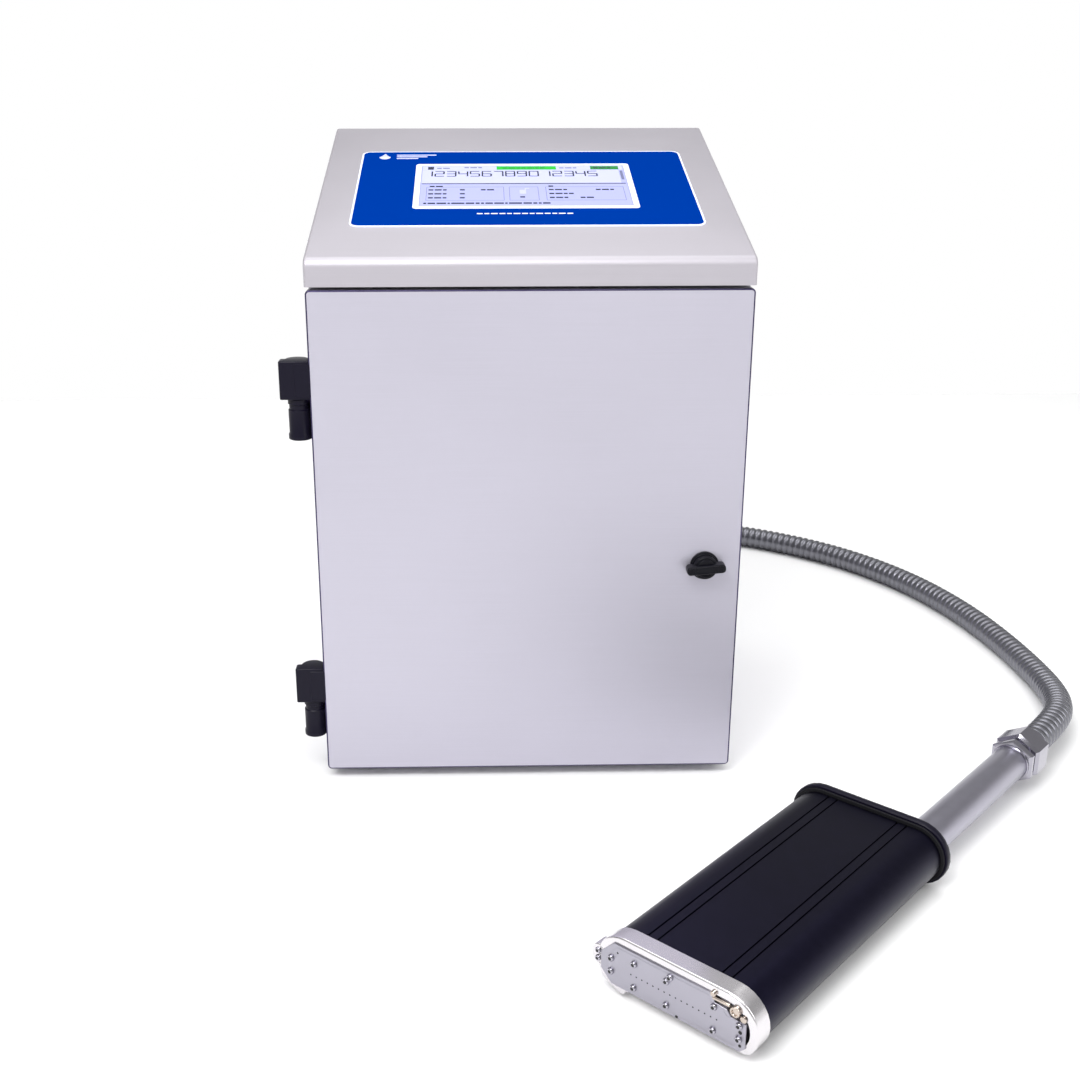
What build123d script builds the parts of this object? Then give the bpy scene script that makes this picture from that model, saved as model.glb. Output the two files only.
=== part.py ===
"""Date code inkjet printer.

A stainless cabinet with a tilted operator panel, an ink and air system behind its door,
and a sixteen-valve print head on a corrugated metal conduit.

Millimetres.  +Z is up, +X is right and the door faces -Y.  The origin is on the floor, at
the centre of the cabinet's footprint.
"""
import os
from math import cos, pi, radians, sin, tan

from build123d import *

os.makedirs("parts", exist_ok=True)

# ---------------------------------------------------------------- driving dimensions
SHEET = 1.5                  # stainless sheet
DEPTH = 266.0                # door skin to the lid's rear lip
DOOR_W = 300.0
LID_W = 301.0
CASE_W = 298.0               # over the side panels
FOOT_H = 3.0
DOOR_BOTTOM = 8.0
DOOR_TOP = 363.0
DOOR_T = 12.0                # depth of the door pan
SEAL_T = 3.0                 # door gasket
LID_BOTTOM = 365.0
LIP_H = 18.0                 # height of the lid's lip and skirts
TILT = 15.7                  # slope of the operator panel, degrees
LID_BEND = 7.0

FRONT = -DEPTH / 2
BACK = DEPTH / 2
LID_TOP = LID_BOTTOM + LIP_H
RISE = tan(radians(TILT))
FRAME_Y = FRONT + DOOR_T + SEAL_T        # front face of the front frame
PANEL_Y = FRAME_Y + SHEET                # front edge of the side panels
REAR_OUT = BACK - SHEET                  # rear panel, outer face
REAR_IN = REAR_OUT - SHEET
SIDE_OUT = CASE_W / 2
SIDE_IN = SIDE_OUT - SHEET
FLOOR_Z = FOOT_H + SHEET                 # inner floor of the cabinet

SHELF_Z = 236.0              # underside of the shelf under the electronics
BOLT_X, BOLT_Y, BOLT_R = 200.0, 180.0, 2.75

HINGE_X, HINGE_Y = -158.5, -124.0
HINGE_Z = {"upper": 289.2, "lower": 63.0}    # underside of each door leaf
LEAF_H, BARREL_H = 26.6, 28.5
HINGE_LEAF_T = 4.0
BODY_SCREW_Y = -100.0
BODY_SCREW_DROPS = (8.5, 22.0)               # below the underside of the door leaf
BARREL_R, LEAF_R, PIN_R = 8.1, 8.5, 3.0
RUNNING = 0.05               # radial clearance of turning fits
THRUST = 0.4                 # gap between the two leaves of a hinge

LOCK_X, LOCK_Z = 124.3, 167.5
SCREEN_W, SCREEN_H = 154.0, 86.0         # seven-inch touch glass
BEZEL_W, BEZEL_H = 163.0, 94.0
OVERLAY_W, OVERLAY_H = 249.0, 157.5
SCREEN_UP, OVERLAY_UP = 136.2, 135.0     # centres, measured up the slope from the bend

GLAND_X, GLAND_Z = -80.0, 66.0
INLET_X, INLET_W, INLET_H, SOCKET_Z = 85.0, 72.0, 28.0, 60.0
SENSOR_X = (-25.0, 0.0, 25.0)
FAN_X, FAN_Z, FAN_SIZE, FAN_T = 90.0, 330.0, 80.0, 25.0
GRILLE_RINGS = ((37.0, 33.5), (30.0, 26.5), (23.0, 19.5), (16.0, 12.5))

HEAD_W, HEAD_T, HEAD_L = 104.4, 36.2, 206.0
HEAD_WALL = 3.0
HEAD_TURN = 43.38            # from +Y towards +X, degrees
HEAD_PITCH = 0.6             # nose down, so that both end flanges rest on the floor
HEAD_X, HEAD_Y, HEAD_Z = 76.7, -406.0, 19.76     # centre of the extrusion's front end
RING_T, RING_EDGE = 12.0, 1.5
CAP_T, CAP_EDGE, SEAL_EDGE = 5.5, 3.8, 2.2
REAR_SEAL_T = 1.5
NOZZLES, NOZZLE_PITCH, NOZZLE_R = 16, 3.8, 0.5
TUBE_R, TUBE_OFFSET, TUBE_L = 12.5, 32.0, 149.0

HOSE_R = 11.0
COIL_X, COIL_Y, COIL_R = 40.0, 297.0, 120.0
COIL_TURNS, COIL_STEP = 2.25, 23.0


def save(builder, name):
    """Label a finished piece and write it to its own file."""
    builder.part.label = name
    export_step(builder.part, f"parts/{name}.step")


def lid_edge(y):
    """Height of the lid's lower edge, which follows the slope."""
    return LID_BOTTOM + (y - FRONT) * RISE


def upright(y):
    """A sketch plane facing -Y: its x is +X and its y is +Z."""
    return Plane(origin=(0, y, 0), x_dir=(1, 0, 0), z_dir=(0, -1, 0))


def side_on(x):
    """A sketch plane facing +X: its x is +Y and its y is +Z."""
    return Plane(origin=(x, 0, 0), x_dir=(0, 1, 0), z_dir=(1, 0, 0))


# ---------------------------------------------------------------- cabinet
tray_w = 2 * SIDE_IN
tray_d = REAR_IN - PANEL_Y
tray_y = (REAR_IN + PANEL_Y) / 2
with BuildPart() as base_tray:
    with BuildSketch(Plane.XY.offset(FOOT_H)):
        with Locations((0, tray_y)):
            Rectangle(tray_w, tray_d)
        with GridLocations(BOLT_X, BOLT_Y, 2, 2):
            Circle(BOLT_R, mode=Mode.SUBTRACT)
    extrude(amount=SHEET)
    with BuildSketch(Plane.XY.offset(FOOT_H)):
        with Locations((0, tray_y)):
            Rectangle(tray_w, tray_d)
            Rectangle(tray_w - 2 * SHEET, tray_d - 2 * SHEET, mode=Mode.SUBTRACT)
    extrude(amount=20)
save(base_tray, "base_tray")

PUMP_X, PUMP_Y = 85.0, 72.0
MOUNT_T = 6.0
with BuildPart() as rubber_mounts:
    with BuildSketch():
        with GridLocations(256, 196, 2, 2):
            Circle(12)
    extrude(amount=FOOT_H)
    with BuildSketch(Plane.XY.offset(FLOOR_Z)):
        with Locations((PUMP_X, PUMP_Y)):
            with GridLocations(70, 64, 2, 2):
                Circle(7)
    extrude(amount=MOUNT_T)
save(rubber_mounts, "rubber_mounts")

LID_SCREW_Y = (-80.0, 80.0)
SKIRT_HOLE = 6.0             # lid screws, above the skirt's lower edge
PANEL_OVERLAP = 12.0         # side panels rise this far inside the skirts


def side_panel(x):
    """A side panel whose top follows the slope, with cooling slots and screw holes."""
    hinge_side = x < 0
    with BuildPart() as panel:
        with BuildSketch(side_on(x)):
            with BuildLine():
                Polyline(
                    (PANEL_Y, FOOT_H),
                    (REAR_IN, FOOT_H),
                    (REAR_IN, lid_edge(REAR_IN) + PANEL_OVERLAP),
                    (PANEL_Y, lid_edge(PANEL_Y) + PANEL_OVERLAP),
                    close=True,
                )
            make_face()
            for y in LID_SCREW_Y:
                with Locations((y, lid_edge(y) + SKIRT_HOLE)):
                    Circle(2.1, mode=Mode.SUBTRACT)
            with Locations((40, 290)):
                with GridLocations(0, 9, 1, 7):
                    SlotOverall(70, 4, mode=Mode.SUBTRACT)
            if hinge_side:
                for leaf_z in HINGE_Z.values():
                    with Locations(*[(BODY_SCREW_Y, leaf_z - d) for d in BODY_SCREW_DROPS]):
                        Circle(2.1, mode=Mode.SUBTRACT)
        extrude(amount=SHEET)
    return panel


side_panel_left = side_panel(-SIDE_OUT)
save(side_panel_left, "side_panel_left")
side_panel_right = side_panel(SIDE_IN)
save(side_panel_right, "side_panel_right")

REAR_TOP = 452.0
with BuildPart() as rear_panel:
    with BuildSketch(upright(REAR_OUT)):
        with Locations((0, (REAR_TOP + FOOT_H) / 2)):
            Rectangle(CASE_W, REAR_TOP - FOOT_H)
        with Locations((GLAND_X, GLAND_Z)):
            Circle(16, mode=Mode.SUBTRACT)
        with Locations((INLET_X, SOCKET_Z)):
            Rectangle(INLET_W, INLET_H, mode=Mode.SUBTRACT)
        with Locations(*[(x, SOCKET_Z) for x in SENSOR_X]):
            Circle(6.1, mode=Mode.SUBTRACT)
        with Locations((FAN_X, FAN_Z)):
            for outer, inner in GRILLE_RINGS:
                Circle(outer, mode=Mode.SUBTRACT)
                Circle(inner)
            Rectangle(76, 4)
            Rectangle(4, 76)
            with GridLocations(71.5, 71.5, 2, 2):
                Circle(2.2, mode=Mode.SUBTRACT)
    extrude(amount=SHEET)
save(rear_panel, "rear_panel")

FRAME_TOP = 378.0
FRAME_STILE = 12.0
OPENING_BOTTOM, OPENING_TOP = 24.5, 350.0
with BuildPart() as front_frame:
    with BuildSketch(upright(FRAME_Y)):
        with Locations((0, (FRAME_TOP + FOOT_H) / 2)):
            Rectangle(CASE_W, FRAME_TOP - FOOT_H)
        with Locations((0, (OPENING_TOP + OPENING_BOTTOM) / 2)):
            Rectangle(
                CASE_W - 2 * FRAME_STILE,
                OPENING_TOP - OPENING_BOTTOM,
                mode=Mode.SUBTRACT,
            )
    extrude(amount=-SHEET)
save(front_frame, "front_frame")

SHELF_FRONT = -112.0
with BuildPart() as mid_shelf:
    with BuildSketch(side_on(-SIDE_IN)):
        with BuildLine():
            Polyline(
                (SHELF_FRONT, SHELF_Z - 12),
                (SHELF_FRONT + SHEET, SHELF_Z - 12),
                (SHELF_FRONT + SHEET, SHELF_Z),
                (REAR_IN, SHELF_Z),
                (REAR_IN, SHELF_Z + SHEET),
                (SHELF_FRONT, SHELF_Z + SHEET),
                close=True,
            )
        make_face()
    extrude(amount=2 * SIDE_IN)
save(mid_shelf, "mid_shelf")

# ---------------------------------------------------------------- lid and operator panel
panel_plane = Plane(
    origin=(0, FRONT, LID_TOP),
    x_dir=(1, 0, 0),
    z_dir=(0, -sin(radians(TILT)), cos(radians(TILT))),
)


def wedge_profile(inset, below, bend):
    """The lid's side view: a lip, a rounded bend, the slope and a rear lip."""
    drop = inset / cos(radians(TILT)) - inset * RISE
    with BuildSketch(Plane.YZ) as profile:
        with BuildLine():
            Polyline(
                (FRONT + inset, LID_BOTTOM - below),
                (FRONT + inset, LID_TOP - drop),
                (BACK - inset, lid_edge(BACK - 2 * inset) + LIP_H - drop),
                (BACK - inset, lid_edge(BACK - inset) - below),
                close=True,
            )
        make_face()
        corner = profile.vertices().group_by(Axis.X)[0].sort_by(Axis.Y)[-1]
        fillet(corner, bend)
    return profile.sketch


with BuildPart() as top_cover:
    extrude(wedge_profile(0, 0, LID_BEND), amount=LID_W / 2, both=True)
    inner = wedge_profile(SHEET, 5, LID_BEND - SHEET)
    extrude(inner, amount=LID_W / 2 - SHEET, both=True, mode=Mode.SUBTRACT)
    with BuildSketch(panel_plane):
        with Locations((0, SCREEN_UP)):
            Rectangle(SCREEN_W + 0.4, SCREEN_H + 0.4)
    extrude(amount=-2 * SHEET, mode=Mode.SUBTRACT)
    for screw_y in LID_SCREW_Y:
        with BuildSketch(side_on(-LID_W / 2)):
            with Locations((screw_y, lid_edge(screw_y) + SKIRT_HOLE)):
                Circle(2.1)
        extrude(amount=LID_W, mode=Mode.SUBTRACT)
save(top_cover, "top_cover")


def button_screw(seat, head_r, head_h, shank_r, reach):
    """A button-head screw with a hex socket, its head standing on the seat plane."""
    with BuildSketch(seat) as head:
        Circle(head_r)
    extrude(head.sketch, amount=head_h)
    with BuildSketch(seat) as shank:
        Circle(shank_r)
    extrude(shank.sketch, amount=-reach)
    with BuildSketch(seat.offset(head_h)) as socket:
        RegularPolygon(0.33 * head_r, 6, major_radius=False)
    extrude(socket.sketch, amount=-0.6 * head_h, mode=Mode.SUBTRACT)


with BuildPart() as case_screws:
    for screw_y in LID_SCREW_Y:
        for outward in (-1, 1):
            seat_point = (outward * LID_W / 2, screw_y, lid_edge(screw_y) + SKIRT_HOLE)
            button_screw(Plane(origin=seat_point, z_dir=(outward, 0, 0)), 3.8, 2.2, 2, 9)
    for leaf_z in HINGE_Z.values():
        for drop in BODY_SCREW_DROPS:
            seat_point = (-SIDE_OUT - HINGE_LEAF_T, BODY_SCREW_Y, leaf_z - drop)
            button_screw(Plane(origin=seat_point, z_dir=(-1, 0, 0)), 3.8, 2.2, 2, 9)
save(case_screws, "case_screws")

with BuildPart() as lid_seal:
    with BuildSketch(Plane.XY.offset(LID_BOTTOM + 1)):
        with Locations((0, (FRONT + SHEET + FRAME_Y) / 2)):
            Rectangle(2 * SIDE_IN, FRAME_Y - FRONT - SHEET)
    extrude(amount=4)
save(lid_seal, "lid_seal")

with BuildPart() as front_overlay:
    with BuildSketch(panel_plane):
        with Locations((0, OVERLAY_UP)):
            RectangleRounded(OVERLAY_W, OVERLAY_H, 7)
        with Locations((0, SCREEN_UP)):
            RectangleRounded(BEZEL_W + 0.4, BEZEL_H + 0.4, 3.2, mode=Mode.SUBTRACT)
    extrude(amount=0.8)
save(front_overlay, "front_overlay")

with BuildPart() as screen_bezel:
    with BuildSketch(panel_plane):
        with Locations((0, SCREEN_UP)):
            RectangleRounded(BEZEL_W, BEZEL_H, 3)
            Rectangle(SCREEN_W + 0.4, SCREEN_H + 0.4, mode=Mode.SUBTRACT)
    extrude(amount=1.3)
save(screen_bezel, "screen_bezel")

with BuildPart() as touch_glass:
    with BuildSketch(panel_plane.offset(-SHEET)):
        with Locations((0, SCREEN_UP)):
            Rectangle(SCREEN_W, SCREEN_H)
    extrude(amount=SHEET + 1)
save(touch_glass, "touch_glass")

LCD_T = 8.0
BOARD_T = 1.6
with BuildPart() as lcd_module:
    with BuildSketch(panel_plane.offset(-SHEET)):
        with Locations((0, SCREEN_UP)):
            Rectangle(165, 100)
    extrude(amount=-LCD_T)
save(lcd_module, "lcd_module")

STANDOFF_L = 6.0
DRIVER_Y, DRIVER_Z, DRIVER_GAP = -20.0, 335.0, 8.0
standoff_top = panel_plane.offset(-SHEET - LCD_T)
with BuildPart() as board_standoffs:
    with BuildSketch(standoff_top):
        with Locations((0, SCREEN_UP)):
            with GridLocations(136, 80, 2, 2):
                RegularPolygon(3, 6, major_radius=False)
    extrude(amount=-STANDOFF_L)
    with BuildSketch(side_on(-SIDE_IN)):
        with Locations((DRIVER_Y, DRIVER_Z)):
            with GridLocations(110, 66, 2, 2):
                RegularPolygon(3, 6, major_radius=False)
    extrude(amount=DRIVER_GAP)
save(board_standoffs, "board_standoffs")

with BuildPart() as main_board:
    with BuildSketch(standoff_top.offset(-STANDOFF_L)):
        with Locations((0, SCREEN_UP)):
            Rectangle(150, 95)
    extrude(amount=-BOARD_T)
    with BuildSketch(standoff_top.offset(-STANDOFF_L - BOARD_T)):
        with Locations((0, SCREEN_UP)):
            Rectangle(24, 24)
        with Locations((-45, SCREEN_UP + 20), (-45, SCREEN_UP - 20)):
            Rectangle(20, 10)
        with Locations((50, SCREEN_UP)):
            with GridLocations(0, 22, 1, 4):
                Rectangle(18, 12)
    extrude(amount=-5)
save(main_board, "main_board")

# ---------------------------------------------------------------- door
GASKET_W = 9.0
GASKET_EDGE = 3.0            # from the door's outer edge to the gasket
door_h = DOOR_TOP - DOOR_BOTTOM
door_mid = (DOOR_TOP + DOOR_BOTTOM) / 2
RETURN_W = 12.0
with BuildPart() as door:
    with BuildSketch(upright(FRONT + DOOR_T)):
        with Locations((0, door_mid)):
            RectangleRounded(DOOR_W, door_h, 3)
    extrude(amount=DOOR_T)
    fillet(door.faces().sort_by(Axis.Y)[0].edges(), 0.9)
    with BuildSketch(upright(FRONT + SHEET)):
        with Locations((0, door_mid)):
            RectangleRounded(DOOR_W - 2 * SHEET, door_h - 2 * SHEET, 1.5)
    extrude(amount=-(DOOR_T - 2 * SHEET), mode=Mode.SUBTRACT)
    with BuildSketch(upright(FRONT + DOOR_T - SHEET)):
        with Locations((0, door_mid)):
            Rectangle(DOOR_W - 2 * (SHEET + RETURN_W), door_h - 2 * (SHEET + RETURN_W))
    extrude(amount=-SHEET, mode=Mode.SUBTRACT)
    with BuildSketch(upright(FRONT)):
        with Locations((LOCK_X, LOCK_Z)):
            Circle(8.1)
    extrude(amount=-SHEET, mode=Mode.SUBTRACT)
save(door, "door")

with BuildPart() as door_gasket:
    with BuildSketch(upright(FRAME_Y)):
        with Locations((0, door_mid)):
            outer_w, outer_h = DOOR_W - 2 * GASKET_EDGE, door_h - 2 * GASKET_EDGE
            RectangleRounded(outer_w, outer_h, 4)
            RectangleRounded(
                outer_w - 2 * GASKET_W, outer_h - 2 * GASKET_W, 2, mode=Mode.SUBTRACT
            )
    extrude(amount=SEAL_T)
save(door_gasket, "door_gasket")

# ---------------------------------------------------------------- lift-off hinges
LEAF_LEFT, LEAF_W = -170.3, 20.3
PIN_REACH = 14.0             # how far each pin stands up into its door leaf
with BuildPart() as hinge_door_leaves:
    for leaf_z in HINGE_Z.values():
        with BuildSketch(Plane.XY.offset(leaf_z)):
            with Locations((HINGE_X, HINGE_Y)):
                Circle(LEAF_R)
            with Locations((LEAF_LEFT, FRONT)):
                Rectangle(LEAF_W, HINGE_Y - FRONT, align=(Align.MIN, Align.MIN))
            with Locations((HINGE_X, FRONT)):
                Rectangle(LEAF_R, DOOR_T, align=(Align.MIN, Align.MIN))
        extrude(amount=LEAF_H)
    tops = [f for f in hinge_door_leaves.faces().filter_by(Axis.Z) if f.normal_at().Z > 0]
    chamfer([edge for top in tops for edge in top.edges()], 1.2)
    for leaf_z in HINGE_Z.values():
        with BuildSketch(Plane.XY.offset(leaf_z)):
            with Locations((HINGE_X, HINGE_Y)):
                Circle(PIN_R + RUNNING)
        extrude(amount=PIN_REACH + 1, mode=Mode.SUBTRACT)
save(hinge_door_leaves, "hinge_door_leaves")


# Foot, waist, neck and head of each barrel: its share below the top, and its radius.
BARREL_STEPS = (
    (BARREL_H, BARREL_R),
    (BARREL_H - 4.5, BARREL_R - 0.5),
    (7.5, BARREL_R - 1.3),
    (4.0, BARREL_R - 0.4),
    (0.0, 0.0),
)
WEB_Y = HINGE_Y + 5.5        # the web keeps behind the door's swing
with BuildPart() as hinge_body_leaves:
    for leaf_z in HINGE_Z.values():
        top = leaf_z - THRUST
        bottom = top - BARREL_H
        for (drop, radius), (next_drop, _) in zip(BARREL_STEPS, BARREL_STEPS[1:]):
            with BuildSketch(Plane.XY.offset(top - drop)):
                with Locations((HINGE_X, HINGE_Y)):
                    Circle(radius)
            extrude(amount=drop - next_drop)
        with BuildSketch(Plane.XY.offset(bottom)):
            with Locations((HINGE_X - 4.5, WEB_Y)):
                Rectangle(-SIDE_OUT - HINGE_X + 4.5, 6, align=(Align.MIN, Align.MIN))
            with Locations((-SIDE_OUT - HINGE_LEAF_T, WEB_Y)):
                Rectangle(HINGE_LEAF_T, 27, align=(Align.MIN, Align.MIN))
        extrude(amount=BARREL_H)
        with BuildSketch(Plane.XY.offset(bottom)):
            with Locations((HINGE_X, HINGE_Y)):
                Circle(PIN_R)
        extrude(amount=BARREL_H, mode=Mode.SUBTRACT)
        with BuildSketch(side_on(-SIDE_OUT)):
            with Locations(*[(BODY_SCREW_Y, leaf_z - drop) for drop in BODY_SCREW_DROPS]):
                Circle(2.1)
        extrude(amount=-HINGE_LEAF_T, mode=Mode.SUBTRACT)
save(hinge_body_leaves, "hinge_body_leaves")

with BuildPart() as hinge_pins:
    for leaf_z in HINGE_Z.values():
        with BuildSketch(Plane.XY.offset(leaf_z - THRUST - BARREL_H)):
            with Locations((HINGE_X, HINGE_Y)):
                Circle(PIN_R)
        extrude(amount=BARREL_H + THRUST + PIN_REACH)
save(hinge_pins, "hinge_pins")

# ---------------------------------------------------------------- quarter-turn lock
SHAFT_R = 5.0
LOCK_BACK = -114.0           # rear end of the lock housing
CAM_T = 2.5


def lock_disc(y, radius, length):
    """A disc on the lock's axis, from the plane y towards the front."""
    with BuildSketch(upright(y)) as disc:
        with Locations((LOCK_X, LOCK_Z)):
            Circle(radius)
    extrude(disc.sketch, amount=length)


with BuildPart() as lock_housing:
    lock_disc(FRONT, 10.3, 2)
    lock_disc(FRONT - 2, 9.2, 1)
    lock_disc(LOCK_BACK, 8, LOCK_BACK - FRONT)
    with BuildSketch(upright(FRONT + SHEET)):
        with Locations((LOCK_X, LOCK_Z)):
            RegularPolygon(10.5, 6, major_radius=False)
    extrude(amount=-5)
    with BuildSketch(upright(LOCK_BACK)):
        with Locations((LOCK_X, LOCK_Z)):
            Circle(SHAFT_R + RUNNING)
    extrude(amount=30, mode=Mode.SUBTRACT)
save(lock_housing, "lock_housing")

KNOB_BACK = FRONT - 3.3
with BuildPart() as lock_knob:
    lock_disc(KNOB_BACK, 8.6, 4)
    lock_disc(KNOB_BACK - 4, 6.6, 1.5)
    with BuildSketch(upright(KNOB_BACK)):
        with Locations((LOCK_X, LOCK_Z)):
            SlotOverall(27.6, 6.4)
    extrude(amount=9)
    lock_disc(LOCK_BACK + 0.4, SHAFT_R, LOCK_BACK + 0.4 - KNOB_BACK)
    lock_disc(LOCK_BACK + 0.4 + CAM_T, PIN_R, CAM_T)
    with BuildSketch(upright(LOCK_BACK + 0.4 + CAM_T)):
        with Locations((LOCK_X, LOCK_Z)):
            RegularPolygon(5, 6, major_radius=False)
    extrude(amount=-4)
save(lock_knob, "lock_knob")

with BuildPart() as lock_cam:
    with BuildSketch(upright(LOCK_BACK + 0.4)):
        with Locations((LOCK_X, LOCK_Z)):
            Circle(7.5)
        with Locations((LOCK_X, LOCK_Z - 11)):
            Rectangle(12, 22)
        with Locations((LOCK_X, LOCK_Z)):
            Circle(PIN_R, mode=Mode.SUBTRACT)
    extrude(amount=-CAM_T)
save(lock_cam, "lock_cam")

# ---------------------------------------------------------------- ink and solvent
TANK_X, TANK_Y, TANK_R, TANK_H, TANK_WALL = -85.0, 45.0, 55.0, 150.0, 3.0
BOTTLE_X, BOTTLE_Y, BOTTLE_R, BOTTLE_H, BOTTLE_WALL = -85.0, -60.0, 34.0, 120.0, 2.0


def vessel(x, y, radius, height, wall, neck_r, neck_h):
    """A round vessel with a rounded shoulder and a plain neck, hollow inside."""
    top = FLOOR_Z + height
    with BuildPart() as body:
        with BuildSketch(Plane.XY.offset(FLOOR_Z)):
            with Locations((x, y)):
                Circle(radius)
        extrude(amount=height)
        fillet(body.faces().sort_by(Axis.Z)[-1].edges(), 8)
        with BuildSketch(Plane.XY.offset(top - 1)):
            with Locations((x, y)):
                Circle(neck_r)
        extrude(amount=neck_h + 1)
        with BuildSketch(Plane.XY.offset(FLOOR_Z + wall)):
            with Locations((x, y)):
                Circle(radius - wall)
        extrude(amount=height - wall - 8, mode=Mode.SUBTRACT)
        with BuildSketch(Plane.XY.offset(FLOOR_Z + height - 10)):
            with Locations((x, y)):
                Circle(neck_r - wall)
        extrude(amount=neck_h + 12, mode=Mode.SUBTRACT)
    return body


def screw_cap(x, y, base_z, outer_r, inner_r, height):
    """A ribbed screw cap over a vessel's neck."""
    with BuildPart() as cap:
        with BuildSketch(Plane.XY.offset(base_z)):
            with Locations((x, y)):
                Circle(outer_r)
                with PolarLocations(outer_r, 24):
                    Circle(0.9, mode=Mode.SUBTRACT)
        extrude(amount=height)
        with BuildSketch(Plane.XY.offset(base_z)):
            with Locations((x, y)):
                Circle(inner_r)
        extrude(amount=height - 3, mode=Mode.SUBTRACT)
    return cap


tank_top = FLOOR_Z + TANK_H
PICKUP_X = TANK_X + 36
ROD_R = 4.0
ink_tank = vessel(TANK_X, TANK_Y, TANK_R, TANK_H, TANK_WALL, 22, 14)
with BuildPart() as ink_tank_drilled:
    add(ink_tank.part)
    with BuildSketch(Plane.XY.offset(tank_top + 1)):
        with Locations((PICKUP_X, TANK_Y)):
            Circle(ROD_R)
    extrude(amount=-15, mode=Mode.SUBTRACT)
save(ink_tank_drilled, "ink_tank")
ink_tank_cap = screw_cap(TANK_X, TANK_Y, tank_top + 1.5, 26, 22 + RUNNING, 16)
save(ink_tank_cap, "ink_tank_cap")

with BuildPart() as ink_pickup:
    with BuildSketch(Plane.XY.offset(14)):
        with Locations((PICKUP_X, TANK_Y)):
            Circle(ROD_R)
    extrude(amount=tank_top + 14 - 14)
    with BuildSketch(Plane.XY.offset(tank_top)):
        with Locations((PICKUP_X, TANK_Y)):
            RegularPolygon(7, 6, major_radius=False)
    extrude(amount=7)
save(ink_pickup, "ink_pickup")

solvent_bottle = vessel(BOTTLE_X, BOTTLE_Y, BOTTLE_R, BOTTLE_H, BOTTLE_WALL, 14, 14)
save(solvent_bottle, "solvent_bottle")
bottle_cap_z = FLOOR_Z + BOTTLE_H + 1.5
solvent_cap = screw_cap(BOTTLE_X, BOTTLE_Y, bottle_cap_z, 17, 14 + RUNNING, 16)
save(solvent_cap, "solvent_cap")

FILTER_X, FILTER_Y, FILTER_TOP = 5.0, 90.0, 170.0
with BuildPart() as ink_filter:
    with BuildSketch(Plane.XY.offset(FILTER_TOP - 24)):
        with Locations((FILTER_X, FILTER_Y)):
            RectangleRounded(44, 44, 4)
    extrude(amount=24)
    with BuildSketch(Plane.XY.offset(FILTER_TOP - 18)):
        with Locations((FILTER_X, FILTER_Y)):
            Rectangle(24, REAR_IN - FILTER_Y, align=(Align.CENTER, Align.MIN))
    extrude(amount=12)
    with BuildSketch(Plane.XY.offset(FILTER_TOP - 80)):
        with Locations((FILTER_X, FILTER_Y)):
            Circle(19)
    extrude(amount=56)
    fillet(ink_filter.faces().sort_by(Axis.Z)[0].edges(), 5)
save(ink_filter, "ink_filter")

with BuildPart() as valve_manifold:
    with BuildSketch(Plane.XY.offset(FLOOR_Z)):
        with Locations((40, -5)):
            Rectangle(80, 28)
    extrude(amount=30)
    with BuildSketch(Plane.XY.offset(FLOOR_Z + 30)):
        with Locations((40, -5)):
            with GridLocations(25, 0, 3, 1):
                RectangleRounded(20, 24, 3)
    extrude(amount=34)
save(valve_manifold, "valve_manifold")

# ---------------------------------------------------------------- air system
pump_z = FLOOR_Z + MOUNT_T
with BuildPart() as air_pump:
    with BuildSketch(Plane.XY.offset(pump_z)):
        with Locations((PUMP_X, PUMP_Y)):
            RectangleRounded(92, 84, 6)
    extrude(amount=4)
    with BuildSketch(Plane.XY.offset(pump_z + 4)):
        with Locations((PUMP_X + 20, PUMP_Y)):
            RectangleRounded(44, 64, 6)
        with Locations((PUMP_X - 16, PUMP_Y)):
            Rectangle(30, 30)
    extrude(amount=18)
    with BuildSketch(Plane.XY.offset(pump_z + 22)):
        with Locations((PUMP_X + 20, PUMP_Y)):
            RectangleRounded(44, 64, 6)
    extrude(amount=40)
    with BuildSketch(side_on(PUMP_X - 42)):
        with Locations((PUMP_Y, pump_z + 34)):
            Circle(22)
    extrude(amount=42)
    with BuildSketch(Plane.XY.offset(pump_z + 62)):
        with Locations((PUMP_X + 20, PUMP_Y)):
            Circle(5)
    extrude(amount=8)
save(air_pump, "air_pump")

REG_X, REG_Y, REG_Z, REG_SIZE = 112.0, -40.0, 150.0, 40.0
GAUGE_R = 20.0
GAUGE_Z = REG_Z + REG_SIZE / 2 + 12 + GAUGE_R
GAUGE_FACE = REG_Y - 11.0


def gauge_disc(y, radius, length, mode=Mode.ADD):
    """A disc on the gauge's axis, from the plane y towards the front."""
    with BuildSketch(upright(y)) as disc:
        with Locations((REG_X, GAUGE_Z)):
            Circle(radius)
    extrude(disc.sketch, amount=length, mode=mode)


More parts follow.
